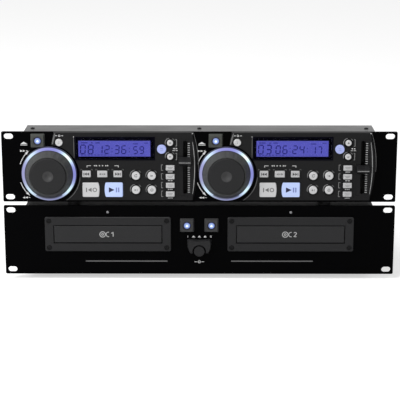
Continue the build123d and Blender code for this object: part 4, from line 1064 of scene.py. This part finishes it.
def lit_key(name, colour, glow):
    """A key lit from behind, with slow clouds of a fifth more and less in its light."""
    made = finish(name, colour, (0.35, 0.45), (0.0007, 0.00001, 0.5), Emission_Strength=1.0)
    tree = made.node_tree
    place = node(tree, "TexCoord").outputs["Object"]
    clouds = node(tree, "TexNoise", {"Vector": place, "Scale": 90.0, "Detail": 2.0})
    light = node(tree, "Mix", {"Factor": clouds.outputs["Fac"], "A": (*[0.8 * c for c in glow], 1),
                               "B": (*[min(1, 1.2 * c) for c in glow], 1)}, data_type="RGBA")
    tree.links.new(light.outputs["Result"], tree.nodes["Principled BSDF"].inputs["Emission Color"])
    return made


play_plastic = lit_key("play_key_lit", (0.36, 0.42, 0.62), (0.20, 0.26, 0.42))
pitch_plastic = lit_key("pitch_key_lit", (0.30, 0.33, 0.55), (0.14, 0.17, 0.34))

SIGNS = {
    "skip_back_button": bar(-3.2, 0, 0.8, 3.4) + triangle(-1.2, 0, -2.9, 3.6) + triangle(1.8, 0, -2.9, 3.6),
    "skip_forward_button": bar(3.2, 0, 0.8, 3.4) + triangle(1.2, 0, 2.9, 3.6) + triangle(-1.8, 0, 2.9, 3.6),
    "search_button": triangle(-2.9, 0, -2.6, 2.8) + bar(0, 0, 1.5, 1.5) + triangle(2.9, 0, 2.6, 2.8),
    "cue_button": bar(-5.6, 0, 1.2, 5.4) + triangle(-1.6, 0, -4.6, 5.4) + arc(4.6, 0, 2.2, 0, 360, 0.5, 41),
    "play_button": triangle(-2.4, 0, 7.0, 6.6),
    "bend_plus_button": bar(0, 0, 2.8, 0.6) + bar(0, 0.86, 0.6, 1.1) + bar(0, -0.86, 0.6, 1.1),
    "bend_minus_button": bar(0, 0, 2.4, 0.9),
    "round_button_1a": arc(0, 0, 1.5, 60, 340, 0.28) + triangle(1.15, 1.5, 1.3, 1.5),
    "round_button_1b": bar(-1.6, 0, 0.4, 2.6) + triangle(0.6, 0, 2.0, 2.2),
    "round_button_2a": triangle(-0.6, 0, 2.0, 2.2) + bar(1.6, 0, 0.4, 2.6),
    "round_button_2b": arc(0, 0, 1.5, 0, 360, 0.26, 33) + bar(0, 0, 0.8, 0.8),
    "time_button": bar(0, 0.9, 0.7, 0.7) + bar(0, -0.9, 0.7, 0.7),
    "pitch_button": bar(0, 1.0, 3.4, 0.5) + bar(0, -1.0, 3.4, 0.5),
}
PLASTICS = {"play_button": play_plastic, "pitch_button": pitch_plastic}
INKS = {"search_button": faint_ink, "cue_button": faint_ink, "time_button": faint_ink,
        "play_button": navy_ink, "pitch_button": pale_blue_ink}
for row in range(4):
    SIGNS[f"bar_button_{row + 1}"] = bar(0, 0.75, 6.4, 0.45) + bar(0, -0.75, 4.6, 0.45)
    INKS[f"bar_button_{row + 1}"] = faint_ink
for key in SIGNS:
    if key.startswith(("bar", "skip", "search")):
        PLASTICS[key] = small_key_plastic
PAUSE = bar(3.4, 0, 1.6, 6.0) + bar(6.2, 0, 1.6, 6.0)
KEY_INK = 0.03

for number in DECKS:
    for key, sign in SIGNS.items():
        name = f"{key}_deck{number}"
        dress(name, PLASTICS.get(key, key_plastic), 0.25, 3)
        x, z, face = middle_of(name)
        kind = INKS.get(key, key_ink)
        printed(f"{key}_sign_deck{number}", sign, (x, z), face, kind, name, proud=KEY_INK)
        if key == "play_button":
            printed(f"pause_sign_deck{number}", PAUSE, (x, z), face, pale_blue_ink, name, proud=KEY_INK)


# --------------------------------------------------------------- pitch sliders
# The knob of each slider is black plastic with slopes to a narrow ridge, which carries a
# pale line. Its stem goes through the slot in the channel.
knob_plastic = finish("knob_plastic", (0.010, 0.010, 0.011), (0.3, 0.42), (0.0006, 0.00002, 0.5),
                      specks=0.3, Specular_IOR_Level=0.35)
KNOB_LINE = bar(0, 0, 14.2, 0.8)
for number in DECKS:
    name = f"pitch_slider_deck{number}"
    dress(name, knob_plastic, 0.5, 3)
    x, z, face = middle_of(name)
    printed(f"knob_line_deck{number}", KNOB_LINE, (x, z), face, grey_ink, name)


# ---------------------------------------------------------------------- studio
# A pale sweep of paper under soft light: a bright sky all round, a wide lamp above
# and a weaker one to the left. The camera stands where the photograph was taken from.
def studio_floor():
    """One wide sheet under the object, white to the camera and still shaded by the object."""
    mesh = bpy.data.meshes.new("floor")
    half = 6.0
    corners = [(-half, -half, 0), (half, -half, 0), (half, half, 0), (-half, half, 0)]
    mesh.from_pydata(corners, [], [(0, 1, 2, 3)])
    floor = bpy.data.objects.new("floor", mesh)
    bpy.context.scene.collection.objects.link(floor)
    paper = bpy.data.materials.new("paper")
    paper.use_nodes = True
    tree = paper.node_tree
    shader = tree.nodes["Principled BSDF"]
    shader.inputs["Base Color"].default_value = (0.82, 0.82, 0.82, 1)
    shader.inputs["Roughness"].default_value = 0.9
    shader.inputs["Specular IOR Level"].default_value = 0.0
    shader.inputs["Emission Color"].default_value = (1, 1, 1, 1)
    path = node(tree, "LightPath")
    glow = node(tree, "Math", {0: path.outputs["Is Camera Ray"], 1: 0.55}, operation="MULTIPLY")
    tree.links.new(glow.outputs[0], shader.inputs["Emission Strength"])
    mesh.materials.append(paper)


def sky():
    """White to the camera and in reflections, dimmer where it lights the object."""
    world = bpy.data.worlds.new("studio")
    world.use_nodes = True
    bpy.context.scene.world = world
    tree = world.node_tree
    tree.nodes.clear()
    path = node(tree, "LightPath")
    seen = path.outputs["Is Camera Ray"]
    for kind in ("Is Glossy Ray", "Is Transmission Ray"):
        seen = node(tree, "Math", {0: seen, 1: path.outputs[kind]}, operation="MAXIMUM").outputs[0]
    strength = node(tree, "MapRange", {"Value": seen, "To Min": 0.38, "To Max": 1.0})
    glow = node(tree, "Background", {"Color": (1, 1, 1, 1), "Strength": strength.outputs[0]})
    node(tree, "OutputWorld", {"Surface": glow.outputs[0]})


def lamp(name, place, target, size, power):
    """A rectangular soft light at place that points at target. Its power is in watts."""
    light = bpy.data.lights.new(name, "AREA")
    light.shape, light.size, light.size_y = "RECTANGLE", size[0], size[1]
    light.energy = power
    made = bpy.data.objects.new(name, light)
    made.location = place
    made.rotation_euler = (Vector(target) - Vector(place)).to_track_quat("-Z", "Y").to_euler()
    bpy.context.scene.collection.objects.link(made)


def camera():
    """Stands 1.81 m in front of the middle and 0.55 m up, turned left by a trace, and looks down."""
    lens = bpy.data.cameras.new("camera")
    lens.sensor_width = 36.0
    lens.lens = 127.8
    made = bpy.data.objects.new("camera", lens)
    made.location = (0.0077, -1.81125, 0.54715)
    look_down, turn_left = 14.75, 0.23
    made.rotation_euler = Euler((math.radians(90 - look_down), 0.0, math.radians(turn_left)), "XYZ")
    bpy.context.scene.collection.objects.link(made)
    bpy.context.scene.camera = made


studio_floor()
sky()
lamp("top_lamp", (-0.9, -0.9, 2.0), (0, -0.1, 0.1), (1.2, 1.0), 28)
lamp("left_lamp", (-1.7, -1.1, 1.0), (0, -0.1, 0.12), (0.4, 0.7), 18)
camera()
bpy.context.scene.view_settings.view_transform = "Standard"
